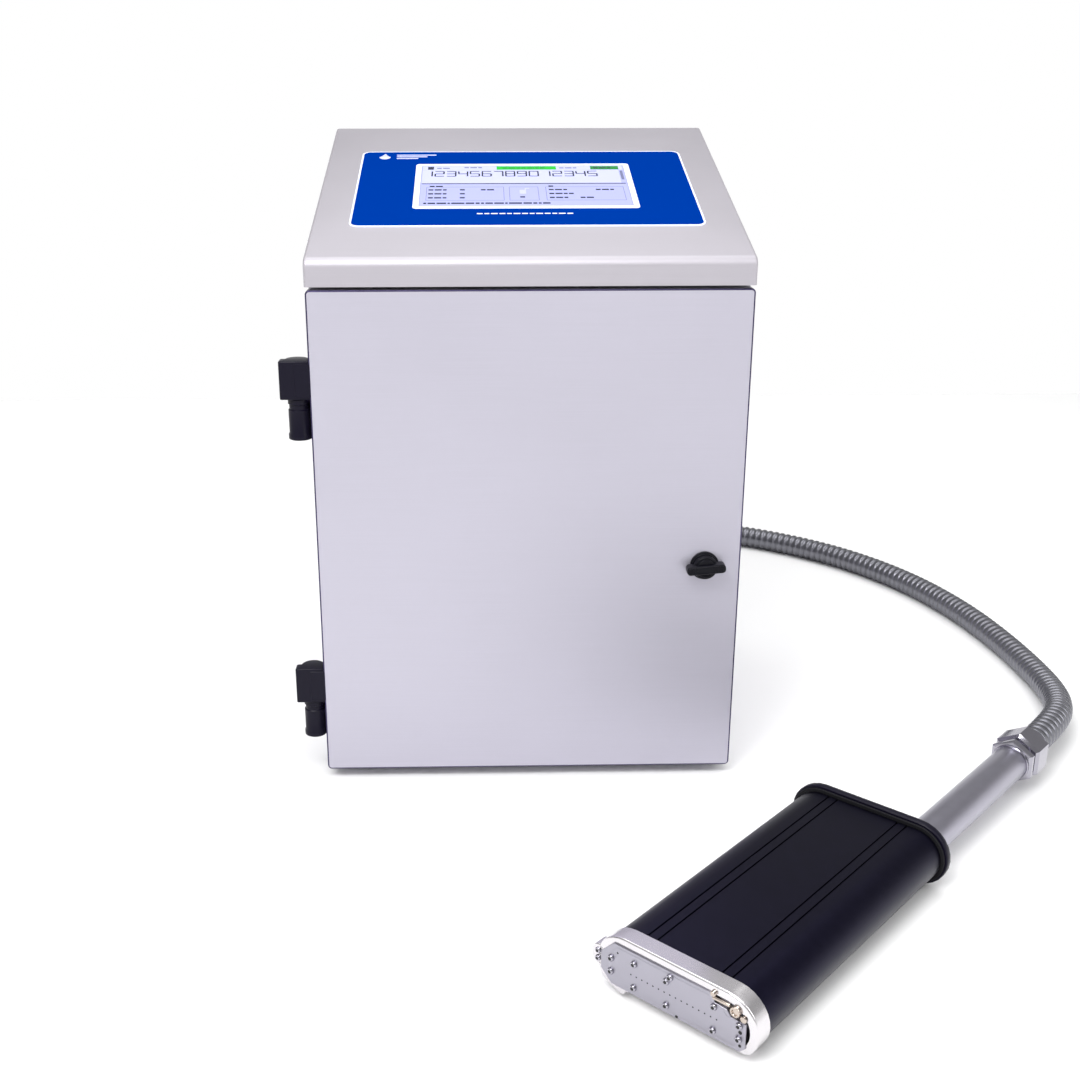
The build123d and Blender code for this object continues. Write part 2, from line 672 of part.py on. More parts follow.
with BuildPart() as regulator_body:
    with BuildSketch(Plane.XY.offset(REG_Z - REG_SIZE / 2)):
        with Locations((REG_X, REG_Y)):
            Rectangle(REG_SIZE, REG_SIZE)
    extrude(amount=REG_SIZE)
    with BuildSketch(side_on(REG_X)):
        with Locations((REG_Y, REG_Z)):
            Rectangle(24, 24)
    extrude(amount=SIDE_IN - REG_X)
    with BuildSketch(upright(REG_Y - REG_SIZE / 2)):
        with Locations((REG_X, REG_Z)):
            Circle(13)
    extrude(amount=6)
    with BuildSketch(upright(REG_Y - REG_SIZE / 2)):
        with Locations((REG_X, REG_Z)):
            Circle(5)
    extrude(amount=12)
    with BuildSketch(Plane.XY.offset(REG_Z - REG_SIZE / 2)):
        with Locations((REG_X, REG_Y)):
            Circle(14)
    extrude(amount=-34)
    with BuildSketch(Plane.XY.offset(REG_Z + REG_SIZE / 2)):
        with Locations((REG_X, REG_Y)):
            Circle(5)
    extrude(amount=15)
    gauge_disc(GAUGE_FACE + 22, GAUGE_R, 22)
    gauge_disc(GAUGE_FACE + 6, GAUGE_R - 2, 6, mode=Mode.SUBTRACT)
    gauge_disc(GAUGE_FACE + 6, 1.2, 3.5)
save(regulator_body, "regulator_body")

KNOB_FACE = REG_Y - REG_SIZE / 2 - 6.4
with BuildPart() as regulator_knob:
    with BuildSketch(upright(KNOB_FACE)):
        with Locations((REG_X, REG_Z)):
            Circle(16)
            with PolarLocations(16, 16):
                Circle(1.2, mode=Mode.SUBTRACT)
    extrude(amount=22)
    with BuildSketch(upright(KNOB_FACE)):
        with Locations((REG_X, REG_Z)):
            Circle(5 + RUNNING)
    extrude(amount=7, mode=Mode.SUBTRACT)
save(regulator_knob, "regulator_knob")

with BuildPart() as gauge_glass:
    gauge_disc(GAUGE_FACE + 1.5, GAUGE_R - 2, 1.5)
save(gauge_glass, "gauge_glass")

with BuildPart() as gauge_needle:
    with BuildSketch(upright(GAUGE_FACE + 4.2)):
        with Locations((REG_X, GAUGE_Z)):
            Circle(3)
            Circle(1.2 + RUNNING, mode=Mode.SUBTRACT)
        with Locations((REG_X - 6.3, GAUGE_Z - 6.3)):
            Rectangle(13, 1.2, rotation=45)
    extrude(amount=0.8)
save(gauge_needle, "gauge_needle")

LINE_R = 3.0


def tubing(radius, bend, *points):
    """A tube along straight runs joined by arcs."""
    with BuildLine() as route:
        FilletPolyline(*points, radius=bend)
    path = route.wire()
    with BuildSketch(Plane(origin=path @ 0, z_dir=path % 0)) as section:
        Circle(radius)
    sweep(section.sketch, path=path)


pickup_top = tank_top + 14
with BuildPart() as inner_tubing:
    tubing(
        LINE_R,
        14,
        (PICKUP_X, TANK_Y, pickup_top),
        (PICKUP_X, TANK_Y, pickup_top + 32),
        (FILTER_X, FILTER_Y, pickup_top + 32),
        (FILTER_X, FILTER_Y, FILTER_TOP),
    )
    tubing(
        LINE_R,
        14,
        (PUMP_X + 20, PUMP_Y, pump_z + 70),
        (PUMP_X + 20, PUMP_Y, pump_z + 110),
        (REG_X, REG_Y + 50, REG_Z),
        (REG_X, REG_Y + REG_SIZE / 2, REG_Z),
    )
    tubing(
        LINE_R + 1,
        9,
        (FILTER_X, FILTER_Y, FILTER_TOP - 80),
        (FILTER_X, FILTER_Y, GLAND_Z),
        (GLAND_X + 40, 111, GLAND_Z),
        (GLAND_X, 111, GLAND_Z),
        (GLAND_X, 123, GLAND_Z),
    )
save(inner_tubing, "inner_tubing")

# ---------------------------------------------------------------- electronics
upper_z = SHELF_Z + SHEET
with BuildPart() as power_supply:
    with BuildSketch(Plane.XY.offset(upper_z)):
        with Locations((-55, 62)):
            Rectangle(160, 98)
    extrude(amount=38)
    with BuildSketch(Plane.XY.offset(upper_z + 38)):
        with Locations((-55, 62)):
            with GridLocations(8, 8, 16, 9):
                Circle(2, mode=Mode.ADD)
    extrude(amount=-1.5, mode=Mode.SUBTRACT)
save(power_supply, "power_supply")

with BuildPart() as driver_board:
    with BuildSketch(side_on(-SIDE_IN + DRIVER_GAP)):
        with Locations((DRIVER_Y, DRIVER_Z)):
            Rectangle(125, 80)
    extrude(amount=BOARD_T)
    with BuildSketch(side_on(-SIDE_IN + DRIVER_GAP + BOARD_T)):
        with Locations((DRIVER_Y, DRIVER_Z)):
            with GridLocations(14, 0, 8, 1):
                Rectangle(9, 14)
        with Locations((DRIVER_Y, DRIVER_Z - 25)):
            Rectangle(90, 8)
    extrude(amount=6)
save(driver_board, "driver_board")

# ---------------------------------------------------------------- cooling fan
fan_front = REAR_IN - FAN_T


def fan_disc(y, radius, length, mode=Mode.ADD):
    """A disc on the fan's axis, from the plane y towards the rear."""
    with BuildSketch(upright(y)) as disc:
        with Locations((FAN_X, FAN_Z)):
            Circle(radius)
    extrude(disc.sketch, amount=-length, mode=mode)


with BuildPart() as fan_frame:
    with BuildSketch(upright(fan_front)):
        with Locations((FAN_X, FAN_Z)):
            RectangleRounded(FAN_SIZE, FAN_SIZE, 4)
            Circle(38, mode=Mode.SUBTRACT)
            with GridLocations(71.5, 71.5, 2, 2):
                Circle(2.2, mode=Mode.SUBTRACT)
    extrude(amount=-FAN_T)
    with BuildSketch(upright(fan_front)):
        with Locations((FAN_X, FAN_Z)):
            Rectangle(78, 4, rotation=45)
            Rectangle(78, 4, rotation=-45)
            Circle(15)
    extrude(amount=-2.5)
    fan_disc(fan_front + 2.5, 2, 14)
save(fan_frame, "fan_frame")

BLADES = 7
with BuildPart() as fan_rotor:
    with BuildSketch(upright(fan_front + 3.5)):
        with Locations((FAN_X, FAN_Z)):
            Circle(16)
    extrude(amount=-19)
    for blade in range(BLADES):
        turn = 2 * pi * blade / BLADES
        root = Plane(
            origin=(FAN_X + 15.5 * cos(turn), fan_front + 13, FAN_Z + 15.5 * sin(turn)),
            z_dir=(cos(turn), 0, sin(turn)),
            x_dir=(-sin(turn) * 0.8, 0.6, cos(turn) * 0.8),
        )
        with BuildSketch(root):
            Rectangle(16, 1.4)
        extrude(amount=19)
    fan_disc(fan_front + 3.5, 2 + RUNNING, 14, mode=Mode.SUBTRACT)
save(fan_rotor, "fan_rotor")

# ---------------------------------------------------------------- rear connections
def gland_disc(y, radius, length, mode=Mode.ADD):
    """A disc on the gland's axis, from the plane y towards the rear."""
    with BuildSketch(upright(y)) as disc:
        with Locations((GLAND_X, GLAND_Z)):
            Circle(radius)
    extrude(disc.sketch, amount=-length, mode=mode)


GLAND_END = 160.0
with BuildPart() as umbilical_gland:
    gland_disc(123, 15.9, REAR_OUT - 123)
    with BuildSketch(upright(REAR_IN)):
        with Locations((GLAND_X, GLAND_Z)):
            RegularPolygon(20, 6, major_radius=False)
    extrude(amount=5)
    with BuildSketch(upright(REAR_OUT)):
        with Locations((GLAND_X, GLAND_Z)):
            RegularPolygon(20, 6, major_radius=False)
    extrude(amount=-10)
    gland_disc(REAR_OUT + 10, 18, GLAND_END - REAR_OUT - 10)
    rim = umbilical_gland.faces().sort_by(Axis.Y)[-1].edges()
    chamfer(rim, 5, 3)
    gland_disc(123, 7, GLAND_END - 123, mode=Mode.SUBTRACT)
save(umbilical_gland, "umbilical_gland")


ROCKER_TILT = 7.0
SWITCH_X = INLET_X - 24
CORD_SOCKET_X = INLET_X + 12
PIN_SITES = ((-7, -2), (0, 2), (7, -2))
POCKET_W, POCKET_H, POCKET_T = 13.4, 21.0, 6.5
with BuildPart() as power_inlet:
    with BuildSketch(upright(REAR_OUT)):
        with Locations((INLET_X, SOCKET_Z)):
            RectangleRounded(INLET_W + 10, INLET_H + 6, 3)
    extrude(amount=-2.5)
    with BuildSketch(upright(REAR_OUT)):
        with Locations((INLET_X, SOCKET_Z)):
            Rectangle(INLET_W - 1, INLET_H - 1)
    extrude(amount=20)
    with BuildSketch(upright(REAR_OUT + 2.5)):
        with Locations((CORD_SOCKET_X, SOCKET_Z)):
            Rectangle(24, 16.5)
    extrude(amount=17, mode=Mode.SUBTRACT)
    with BuildSketch(upright(REAR_OUT - 14.5)):
        with Locations(*[(CORD_SOCKET_X + x, SOCKET_Z + z) for x, z in PIN_SITES]):
            Rectangle(2, 5)
    extrude(amount=-13)
    with BuildSketch(upright(REAR_OUT + 2.5)):
        with Locations((SWITCH_X, SOCKET_Z)):
            Rectangle(POCKET_W, POCKET_H)
    extrude(amount=POCKET_T, mode=Mode.SUBTRACT)
save(power_inlet, "power_inlet")

with BuildPart() as power_rocker:
    rocker_plane = Plane(
        origin=(SWITCH_X, REAR_OUT - 2, SOCKET_Z),
        x_dir=(1, 0, 0),
        z_dir=(0, cos(radians(ROCKER_TILT)), sin(radians(ROCKER_TILT))),
    )
    with BuildSketch(rocker_plane):
        Rectangle(13, 18)
    extrude(amount=5.5)
save(power_rocker, "power_rocker")

with BuildPart() as sensor_sockets:
    with BuildSketch(upright(REAR_OUT)):
        with Locations(*[(x, SOCKET_Z) for x in SENSOR_X]):
            RegularPolygon(8.5, 6, major_radius=False)
    extrude(amount=-3)
    with BuildSketch(upright(REAR_OUT + 3)):
        with Locations(*[(x, SOCKET_Z) for x in SENSOR_X]):
            Circle(6)
    extrude(amount=-7)
    with BuildSketch(upright(REAR_OUT)):
        with Locations(*[(x, SOCKET_Z) for x in SENSOR_X]):
            Circle(6)
    extrude(amount=14)
save(sensor_sockets, "sensor_sockets")

# ---------------------------------------------------------------- print head
head_back = Vector(
    sin(radians(HEAD_TURN)) * cos(radians(HEAD_PITCH)),
    cos(radians(HEAD_TURN)) * cos(radians(HEAD_PITCH)),
    sin(radians(HEAD_PITCH)),
)
head_face = Plane(
    origin=(HEAD_X, HEAD_Y, HEAD_Z),
    x_dir=(cos(radians(HEAD_TURN)), -sin(radians(HEAD_TURN)), 0),
    z_dir=(-head_back.X, -head_back.Y, -head_back.Z),
)

GROOVES = (21.5, 28.0)       # from the centre line, on both broad faces
with BuildPart() as head_extrusion:
    with BuildSketch(head_face):
        SlotOverall(HEAD_W, HEAD_T)
        SlotOverall(HEAD_W - 2 * HEAD_WALL, HEAD_T - 2 * HEAD_WALL, mode=Mode.SUBTRACT)
        for across in GROOVES:
            with GridLocations(2 * across, HEAD_T, 2, 2):
                Rectangle(1.2, 2, mode=Mode.SUBTRACT)
    extrude(amount=-HEAD_L)
save(head_extrusion, "head_extrusion")

BLOCK_W, BLOCK_T = 97.0, 29.0
EAR_W, EAR_H, EAR_SETBACK = 11.0, 13.5, 3.0
EAR_PLACE = (-51.5, 1.5)
EAR_SCREWS = ((-52.6, 4.2), (-52.6, -1.0))
with BuildPart() as head_front_ring:
    with BuildSketch(head_face):
        SlotOverall(HEAD_W + 2 * RING_EDGE, HEAD_T + 2 * RING_EDGE)
        SlotOverall(BLOCK_W + 0.4, BLOCK_T + 0.4, mode=Mode.SUBTRACT)
    extrude(amount=RING_T)
    # An ear on the left end carries two screws.
    with BuildSketch(head_face.offset(EAR_SETBACK)):
        with Locations(EAR_PLACE):
            RectangleRounded(EAR_W, EAR_H, 5)
        SlotOverall(BLOCK_W + 0.4, BLOCK_T + 0.4, mode=Mode.SUBTRACT)
    extrude(amount=RING_T - EAR_SETBACK)
    with BuildSketch(head_face.offset(RING_T)):
        with Locations(*EAR_SCREWS):
            Circle(1.1)
    extrude(amount=-8, mode=Mode.SUBTRACT)
    # The underside slopes up towards the foot of the nozzle plate.
    with BuildSketch(Plane(
        origin=head_face.from_local_coords(Vector(-70, 0, 0)),
        x_dir=head_face.z_dir,
        z_dir=head_face.x_dir,
    )) as underside:
        Polygon((12.5, 13.2), (12.5, 24), (3, 24), (3, 19.7), align=None)
    extrude(underside.sketch, amount=140, mode=Mode.SUBTRACT)
save(head_front_ring, "head_front_ring")

PLATE_SCREWS = ((-42.5, 4.4), (-42.5, -4.4), (-26.5, 7.9), (-26.5, -7.9), (-4.5, 7.8), (-4.1, -7.9),
                (26.5, 7.9), (26.5, -7.9), (42.5, 4.4), (42.5, -4.4))
PLATE_EDGE = ((-50, -5.5), (-42.5, -13), (43, -13), (46.5, -9.5), (46.5, 6), (37, 6.5), (34.5, 9.5),
              (26.5, 10), (24.5, 15), (-41, 15), (-50, 5.5))
nozzle_sites = [(NOZZLE_PITCH * (i - (NOZZLES - 1) / 2), 0) for i in range(NOZZLES)]
with BuildPart() as nozzle_block:
    with BuildSketch(head_face.offset(-18)):
        SlotOverall(BLOCK_W, BLOCK_T)
        with Locations(*nozzle_sites):
            Circle(NOZZLE_R, mode=Mode.SUBTRACT)
    extrude(amount=18 + RING_T - 2.5)
    with BuildSketch(head_face.offset(RING_T - 2.5)):
        with Locations(*PLATE_SCREWS):
            Circle(1.3)
    extrude(amount=-9, mode=Mode.SUBTRACT)
save(nozzle_block, "nozzle_block")

with BuildPart() as nozzle_plate:
    with BuildSketch(head_face.offset(RING_T - 2.5)):
        plate = Rectangle(93, 26)
        chamfer(plate.vertices(), 7)
        with Locations(*nozzle_sites):
            Circle(NOZZLE_R, mode=Mode.SUBTRACT)
        with Locations(*PLATE_SCREWS):
            Circle(1.3, mode=Mode.SUBTRACT)
    extrude(amount=2.5)
    # The face of the plate spreads over the rim of the ring.
    with BuildSketch(head_face.offset(RING_T)):
        Polygon(*PLATE_EDGE, align=None)
        with Locations(*nozzle_sites):
            Circle(NOZZLE_R, mode=Mode.SUBTRACT)
        with Locations(*PLATE_SCREWS):
            Circle(1.3, mode=Mode.SUBTRACT)
    extrude(amount=1)
save(nozzle_plate, "nozzle_plate")

with BuildPart() as micro_valves:
    with BuildSketch(head_face.offset(-18)):
        with Locations(*nozzle_sites):
            Circle(1.8)
    extrude(amount=-42)
save(micro_valves, "micro_valves")

with BuildPart() as head_board:
    with BuildSketch(head_face.offset(-165)):
        with Locations((0, -9)):
            Rectangle(84, 1.6)
    extrude(amount=95)
    with BuildSketch(head_face.offset(-150)):
        with Locations((-20, -6.2), (20, -6.2)):
            Rectangle(14, 4)
    extrude(amount=60)
save(head_board, "head_board")

with BuildPart() as head_rear_gasket:
    with BuildSketch(head_face.offset(-HEAD_L)):
        SlotOverall(HEAD_W + 2 * SEAL_EDGE, HEAD_T + 2 * SEAL_EDGE)
        SlotOverall(HEAD_W - 2 * HEAD_WALL, HEAD_T - 2 * HEAD_WALL, mode=Mode.SUBTRACT)
    extrude(amount=-REAR_SEAL_T)
save(head_rear_gasket, "head_rear_gasket")

CAP_SCREWS = ((-42, 11), (-42, -11), (8, 14), (8, -14))
cap_front = head_face.offset(-HEAD_L - REAR_SEAL_T)
cap_rear = cap_front.offset(-CAP_T)
with BuildPart() as head_rear_cap:
    with BuildSketch(cap_front):
        SlotOverall(HEAD_W + 2 * CAP_EDGE, HEAD_T + 2 * CAP_EDGE)
        with Locations((TUBE_OFFSET, 0)):
            Circle(TUBE_R, mode=Mode.SUBTRACT)
        with Locations(*CAP_SCREWS):
            Circle(1.6, mode=Mode.SUBTRACT)
    extrude(amount=-CAP_T)
save(head_rear_cap, "head_rear_cap")

with BuildPart() as head_screws:
    for x, y in PLATE_SCREWS:
        on_plate = head_face.offset(RING_T + 1)
        on_plate.origin = on_plate.from_local_coords(Vector(x, y, 0))
        button_screw(on_plate, 2.1, 1.8, 1.25, 9.5)
    for x, y in EAR_SCREWS:
        on_ear = head_face.offset(RING_T)
        on_ear.origin = on_ear.from_local_coords(Vector(x, y, 0))
        button_screw(on_ear, 1.9, 1.3, 1.05, 7.5)
    for x, y in CAP_SCREWS:
        on_cap = Plane(
            origin=cap_rear.from_local_coords(Vector(x, y, 0)),
            x_dir=cap_rear.x_dir,
            z_dir=-cap_rear.z_dir,
        )
        button_screw(on_cap, 2.8, 2, 1.5, CAP_T)
save(head_screws, "head_screws")

with BuildPart() as tail_tube:
    with BuildSketch(cap_front):
        with Locations((TUBE_OFFSET, 0)):
            Circle(TUBE_R)
            Circle(TUBE_R - 1.5, mode=Mode.SUBTRACT)
    extrude(amount=-CAP_T - TUBE_L)
save(tail_tube, "tail_tube")

tube_end = cap_rear.offset(-TUBE_L)
WASHER_L, LOCKNUT_L, NECK_L, HEX_L, COLLAR_L = 2.5, 5.5, 4.0, 20.0, 6.0


def on_tube(start, length, *shapes):
    """Extrude round or hexagonal shapes on the tail tube's axis, away from the head."""
    with BuildSketch(tube_end.offset(-start)) as section:
        with Locations((TUBE_OFFSET, 0)):
            for sides, radius, mode in shapes:
                if sides:
                    RegularPolygon(radius, sides, major_radius=False, mode=mode)
                else:
                    Circle(radius, mode=mode)
    extrude(section.sketch, amount=-length)


with BuildPart() as tube_locknut:
    on_tube(0, WASHER_L, (0, 13.6, Mode.ADD), (0, 9, Mode.SUBTRACT))
    on_tube(WASHER_L, LOCKNUT_L, (6, 15, Mode.ADD), (0, 9, Mode.SUBTRACT))
save(tube_locknut, "tube_locknut")

neck_start = WASHER_L + LOCKNUT_L
hex_start = neck_start + NECK_L
collar_start = hex_start + HEX_L
with BuildPart() as conduit_connector:
    on_tube(neck_start, NECK_L, (0, 12.5, Mode.ADD), (0, 7, Mode.SUBTRACT))
    on_tube(hex_start, HEX_L, (6, 16, Mode.ADD), (0, 7, Mode.SUBTRACT))
    on_tube(collar_start, COLLAR_L, (0, 13.5, Mode.ADD), (0, 7, Mode.SUBTRACT))
save(conduit_connector, "conduit_connector")

# ---------------------------------------------------------------- conduit
hose_end = tube_end.offset(-collar_start - COLLAR_L).from_local_coords(Vector(TUBE_OFFSET, 0, 0))
coil_top = HOSE_R + COIL_TURNS * COIL_STEP

TAIL_POINTS = [
    (GLAND_X, GLAND_END, GLAND_Z),
    (GLAND_X, 226, GLAND_Z),
    (COIL_X - COIL_R, COIL_Y, coil_top),
]
# From the foot of the coil, round the right of the cabinet, to the print head.
RUN_POINTS = [
    (COIL_X, COIL_Y + COIL_R, 11),
    (90, 417, 11),
    (140, 421, 11),
    (190, 416, 11),
    (236, 403, 11),
    (280, 380, 11),
    (318, 351, 11),
    (351, 318, 11),
    (379, 279, 11),
    (403, 234, 11),
    (420, 186, 11),
    (432, 136, 11),
    (439, 84, 11),
    (442, 34, 11.5),
    (440, -15, 14),
    (430, -60, 19),
]
EXIT_RUN = 50.0              # straight out of the connector


def unit(a, b):
    return (Vector(*b) - Vector(*a)).normalized()


def corner_radii(points):
    """As large an arc at each corner as its two runs allow."""
    radii = []
    for before, at, after in zip(points, points[1:], points[2:]):
        run_in = (Vector(*at) - Vector(*before)).length
        run_out = (Vector(*after) - Vector(*at)).length
        turn = radians(unit(before, at).get_angle(unit(at, after)))
        radii.append(0.45 * min(run_in, run_out) / tan(turn / 2))
    return radii


def conduit(points, name):
    """A plain tube along the route, whose length and volume are printed."""
    radii = corner_radii(points)
    with BuildPart() as tube:
        with BuildLine() as route:
            FilletPolyline(*points, radius=radii)
        with BuildSketch(Plane(origin=points[0], z_dir=unit(points[0], points[1]))):
            Circle(HOSE_R)
        sweep()
    length = sum(edge.length for edge in route.edges())
    section = pi * HOSE_R**2
    print(name, "length", round(length, 1), "volume over section times length",
          round(tube.part.volume / (section * length), 4))
    print(name, "radii", [round(r) for r in radii])
    save(tube, name)
    return length


end_point = (hose_end.X, hose_end.Y, hose_end.Z)
exit_point = hose_end + head_back * EXIT_RUN
run_points = RUN_POINTS + [(exit_point.X, exit_point.Y, exit_point.Z), end_point]
print("conduit end", [round(c, 2) for c in end_point],
      "exit point", [round(c, 2) for c in run_points[-2]])
total = conduit(TAIL_POINTS, "hose_tail") + conduit(run_points, "hose_run")
total += COIL_TURNS * 2 * pi * COIL_R
print("conduit length", round(total))

with BuildPart() as hose_coil:
    with BuildSketch():
        with Locations((COIL_X, COIL_Y)):
            Circle(COIL_R + HOSE_R)
            Circle(COIL_R - HOSE_R, mode=Mode.SUBTRACT)
    extrude(amount=coil_top + HOSE_R)
save(hose_coil, "hose_coil")
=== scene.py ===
from math import cos, hypot, pi, radians, sin, tan

import bmesh
import bpy
from mathutils import Matrix, Vector


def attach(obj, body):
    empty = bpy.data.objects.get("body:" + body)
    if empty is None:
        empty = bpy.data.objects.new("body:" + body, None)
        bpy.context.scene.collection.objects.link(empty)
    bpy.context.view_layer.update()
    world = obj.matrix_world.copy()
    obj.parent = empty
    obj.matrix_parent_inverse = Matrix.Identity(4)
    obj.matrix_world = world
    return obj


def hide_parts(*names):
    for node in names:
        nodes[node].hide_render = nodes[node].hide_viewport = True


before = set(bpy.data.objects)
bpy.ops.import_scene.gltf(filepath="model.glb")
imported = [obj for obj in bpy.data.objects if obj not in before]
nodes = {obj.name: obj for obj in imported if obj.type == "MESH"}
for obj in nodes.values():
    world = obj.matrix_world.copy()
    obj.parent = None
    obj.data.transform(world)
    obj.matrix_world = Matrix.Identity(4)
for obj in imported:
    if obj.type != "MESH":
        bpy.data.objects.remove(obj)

scene = bpy.context.scene
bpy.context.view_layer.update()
MM = 0.001

# ------------------------------------------------------------------ driving sizes, millimetres
FRONT, BACK, SHEET = -133.0, 133.0, 1.5
DEPTH = BACK - FRONT
DOOR_W, DOOR_H, DOOR_MID, DOOR_T, DOOR_FLANGE = 300.0, 355.0, 185.5, 12.0, 12.0
LID_W, LID_BOTTOM, LIP_H, TILT = 301.0, 365.0, 18.0, radians(15.7)
LID_TOP = LID_BOTTOM + LIP_H
LID_BEND, LID_RIM, FOLD_ANGLE = 7.0, 2.2, 28
SCREEN_W, SCREEN_H, SCREEN_UP = 154.0, 86.0, 136.2
WINDOW_W, WINDOW_H, WINDOW_REACH = 158.0, 90.0, 6.0
BEZEL_W, BEZEL_H = 163.0, 94.0
OVERLAY_W, OVERLAY_H, OVERLAY_UP, BORDER = 249.0, 157.5, 135.0, 1.4
FILM_TOP, PRINT_TOP, SCREEN_TOP, FRAME_TOP = 0.8, 0.86, 0.9, 1.3
LABEL_W, LABEL_H, LABEL_UP = 71.0, 1.7, 79.5
DIGIT_W, DIGIT_H, DIGIT_PITCH, DIGIT_STROKE = 6.6, 10.5, 8.9, 1.15
HINGE_X, HINGE_Y, HINGE_Z = -158.5, -124.0, (63.0, 289.2)
LEAF_H, BARREL_H, BARREL_R, LEAF_R = 26.6, 28.5, 8.1, 8.5
WEB_X, WEB_BACK, WEB_W, WEB_T = -151.0, 19.0, 27.0, 4.0
LOCK_X, LOCK_Z, WING_TURN = 124.3, 167.5, radians(5)
HEAD_W, HEAD_T, HEAD_L = 104.4, 36.2, 206.0
HEAD_TURN, HEAD_PITCH = radians(43.38), radians(0.6)
HEAD_POINT = (76.7, -406.0, 19.76)
RING_T, EAR_AT, EAR_W, EAR_H = 12.0, (-51.5, 1.5), 11.0, 13.5
BLOCK_W, BLOCK_H, TAB_AT = 97.0, 29.0, (-36.0, -13.2)
TUBE_OFFSET, TUBE_R, TUBE_END, CAP_END = 32.0, 12.5, 362.0, 213.0
NOZZLES, NOZZLE_PITCH, FACE_Z = 16, 3.8, 13.1
GLAND_X, GLAND_Z, GLAND_END = -80.0, 66.0, 160.0
HOSE_R, HOSE_RIDGE, RIDGE_DEPTH, HOSE_SIDES = 11.0, 6.9, 0.95, 24
COIL_X, COIL_Y, COIL_R, COIL_TURNS, COIL_STEP = 40.0, 297.0, 120.0, 2.25, 23.0

# Outlines and hole patterns on the head's nose, in its own (x, y).
TAB_EDGE = ((-9.5, 5), (-9.5, 0.6), (-1.0, -3.6), (2.4, -3.2), (3.8, -0.6), (8.5, 0.4), (8.5, 3))
PLATE_EDGE = (
    (-50, -5.5), (-42.5, -13), (43, -13), (46.5, -9.5), (46.5, 6), (37, 6.5), (34.5, 9.5),
    (26.5, 10), (24.5, 15), (-41, 15), (-50, 5.5),
)
PLATE_HOLES = ((3, -11.8, 0.9), (43.2, -0.4, 1.1), (-38, 9.6, 0.6), (43.4, -8.9, 0.9))
PLATE_SCREWS = (
    (-42.5, 4.4), (-42.5, -4.4), (-26.5, 7.9), (-26.5, -7.9), (-4.5, 7.8), (-2.2, 11.4),
    (-4.1, -7.9), (26.5, 7.4), (26.5, -7.9), (42.5, 3.6), (42.5, -5.0),
)
EAR_SCREWS = ((-52.6, 4.2), (-52.6, -1.0))

# One ridge of the conduit: the part of the way along it, and how deep the surface lies there.
RIDGE = ((0.0, 0.0), (0.26, 0.0), (0.36, 0.3), (0.43, 0.85), (0.5, 1.0), (0.8, 1.0), (0.92, 0.55))


# ------------------------------------------------------------------ camera, light and floor
LENS, SENSOR, SHIFT_X, FAR_CLIP = 44.42, 36.0, 0.0323, 50.0
CAMERA_AT = (-0.0364, -1.0220, 0.4916)
CAMERA_YAW, CAMERA_PITCH, CAMERA_ROLL = radians(1.218), radians(18.874), radians(-0.091)
FLOOR_SIZE, FLOOR_SHADE = 2.3, 0.93

# Brightness by height: a white horizon, a grey band of studio wall above it, and a white ceiling.
SKY = ((0.0, 1.0), (0.13, 1.0), (0.24, 0.42), (0.55, 0.36), (0.78, 0.8), (1.0, 1.0))

# Each lamp's place, the point that it is aimed at, its two sides, in metres, and its power in watts.
LAMPS = {
    "key": ((-1.2, -1.6, 2.2), (0, -0.1, 0.2), (1.2, 1.2), 34),
    "fill": ((1.8, -1.2, 1.4), (0.1, -0.1, 0.2), (1.2, 1.6), 15),
    "top": ((0.0, 0.5, 2.2), (0, 0, 0.3), (2.0, 1.2), 15),
    "front": ((-0.1, -0.8, 1.1), (0, -0.13, 0.36), (0.9, 0.3), 5),
}


def add_camera():
    """A viewpoint straight in front of the cabinet and a little above its top."""
    data = bpy.data.cameras.new("camera")
    data.lens, data.sensor_width = LENS, SENSOR
    data.shift_x = SHIFT_X
    data.clip_end = FAR_CLIP
    camera = bpy.data.objects.new("camera", data)
    scene.collection.objects.link(camera)
    camera.location = CAMERA_AT
    level = cos(CAMERA_PITCH)
    look = Vector((sin(CAMERA_YAW) * level, cos(CAMERA_YAW) * level, -sin(CAMERA_PITCH)))
    roll = Matrix.Rotation(CAMERA_ROLL, 3, "Z").to_quaternion()
    camera.rotation_mode = "QUATERNION"
    camera.rotation_quaternion = look.to_track_quat("-Z", "Y") @ roll
    scene.camera = camera


def add_lamp(name, spot, aim, size, power):
    """A soft rectangular studio light."""
    data = bpy.data.lights.new(name, "AREA")
    data.shape = "RECTANGLE"
    data.size, data.size_y = size
    data.energy = power
    lamp = bpy.data.objects.new(name, data)
    lamp.location = spot
    lamp.rotation_mode = "QUATERNION"
    lamp.rotation_quaternion = (Vector(aim) - Vector(spot)).to_track_quat("-Z", "Y")
    scene.collection.objects.link(lamp)


def add_sky():
    """A world whose brightness depends on height alone."""
    world = bpy.data.worlds.new("studio")
    scene.world = world
    world.use_nodes = True
    tree = world.node_tree
    where = tree.nodes.new("ShaderNodeTexCoord")
    height = tree.nodes.new("ShaderNodeSeparateXYZ")
    shades = tree.nodes.new("ShaderNodeValToRGB")
    tree.links.new(where.outputs["Generated"], height.inputs[0])
    tree.links.new(height.outputs["Z"], shades.inputs["Fac"])
    tree.links.new(shades.outputs["Color"], tree.nodes["Background"].inputs["Color"])
    ramp = shades.color_ramp
    for at, _ in SKY[1:-1]:
        ramp.elements.new(at)
    for element, (at, level) in zip(ramp.elements, SKY):
        element.position = at
        element.color = (level, level, level, 1)


